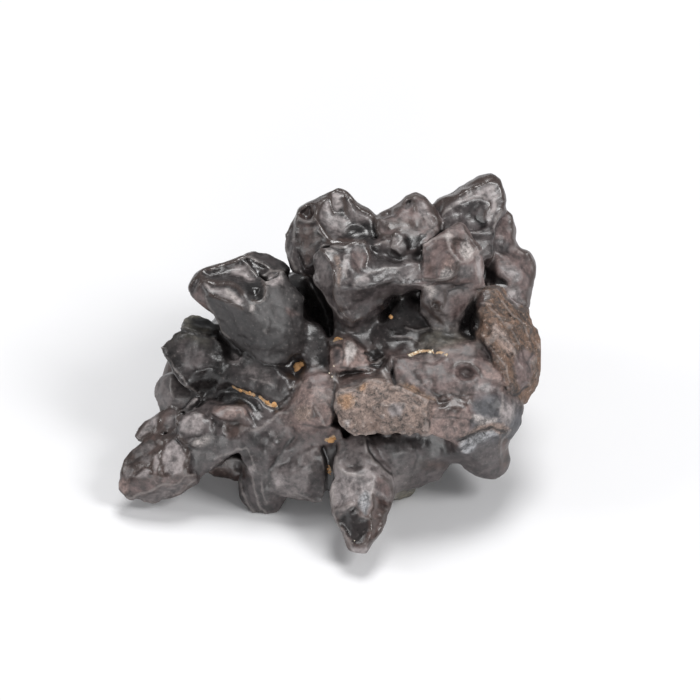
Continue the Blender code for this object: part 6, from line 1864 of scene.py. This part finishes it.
@dataclass
class Studio:
    """A pale paper floor, soft light from above and the left, and the camera."""

    floor_width: float = 3.0
    camera_distance: float = 1.2
    camera_height_deg: float = 40.0
    target: tuple = (0.00294, 0.00219, 0.0173)
    frame_width: float = 0.1

    def lay_floor(self) -> bpy.types.Object:
        """Lay the paper under the stone.

        Returns:
            The floor's object.
        """
        half = self.floor_width / 2
        corners = np.array([(-half, -half, 0), (half, -half, 0), (half, half, 0), (-half, half, 0)])
        floor = make_piece("paper_floor", corners, np.array([[0, 1, 2, 3]]))
        floor.data.materials.append(PaperFinish().material())
        return floor

    def light(self) -> None:
        """Hang a broad lamp above, weaker ones to the sides and low in front, and a pale surround."""
        self.hang_lamp("top_lamp", (0.10, 0.42, 1.18), 0.46, 10.4)
        self.hang_lamp("right_lamp", (0.80, -0.35, 0.90), 0.42, 7.2)
        self.hang_lamp("left_lamp", (-1.1, 0.0, 0.7), 0.36, 3.0)
        self.hang_lamp("low_lamp", (0.0, -1.2, 0.28), 0.6, 5.0)
        world = bpy.data.worlds.new("pale_surround")
        world.use_nodes = True
        back = world.node_tree.nodes["Background"]
        back.inputs["Color"].default_value = (0.97, 0.98, 1.0, 1.0)
        back.inputs["Strength"].default_value = 0.22
        bpy.context.scene.world = world

    def hang_lamp(self, name: str, place: tuple, width: float, watts: float) -> None:
        """Hang a square lamp that points at the stone.

        Args:
            name: The lamp's name.
            place: Where it hangs, in metres.
            width: Its width in metres.
            watts: Its power.
        """
        lamp = bpy.data.lights.new(name, "AREA")
        lamp.shape = "SQUARE"
        lamp.size = width
        lamp.energy = watts
        holder = bpy.data.objects.new(name, lamp)
        holder.location = place
        holder.rotation_euler = (Vector(self.target) - Vector(place)).to_track_quat("-Z", "Y").to_euler()
        bpy.context.scene.collection.objects.link(holder)

    def place_camera(self) -> None:
        """Set the camera square on to the leaning face, 40 degrees above the floor."""
        lens = bpy.data.cameras.new("camera")
        lens.lens = 200.0
        lens.sensor_width = lens.lens * self.frame_width / self.camera_distance
        lens.clip_end = 20.0
        camera = bpy.data.objects.new("camera", lens)
        height = math.radians(self.camera_height_deg)
        away = Vector((0.0, -math.cos(height), math.sin(height)))
        camera.location = Vector(self.target) + self.camera_distance * away
        camera.rotation_euler = (-away).to_track_quat("-Z", "Y").to_euler()
        bpy.context.scene.collection.objects.link(camera)
        bpy.context.scene.camera = camera


def main() -> None:
    """Build the stone, its clay and the studio, and tie the pieces to the frame."""
    logging.basicConfig(level=logging.INFO, format="%(message)s", stream=sys.stdout)
    bpy.context.scene.view_settings.view_transform = "Standard"
    skin = StoneSkin(0.25)
    skin.grow()
    LOG.info("field grown on a grid of %s", skin.stone.values.shape)
    stone = skin.build()
    skin.dress(stone)
    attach(stone, "root")
    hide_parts("concretion")
    LOG.info("stone skin: %d faces", len(stone.data.polygons))
    clay = ClayCrumbs(skin).build()
    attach(clay, "root")
    LOG.info("clay crumbs: %d faces", len(clay.data.polygons))
    studio = Studio()
    studio.lay_floor()
    studio.light()
    studio.place_camera()
    LOG.info("studio set")


if __name__ == "__main__":
    main()
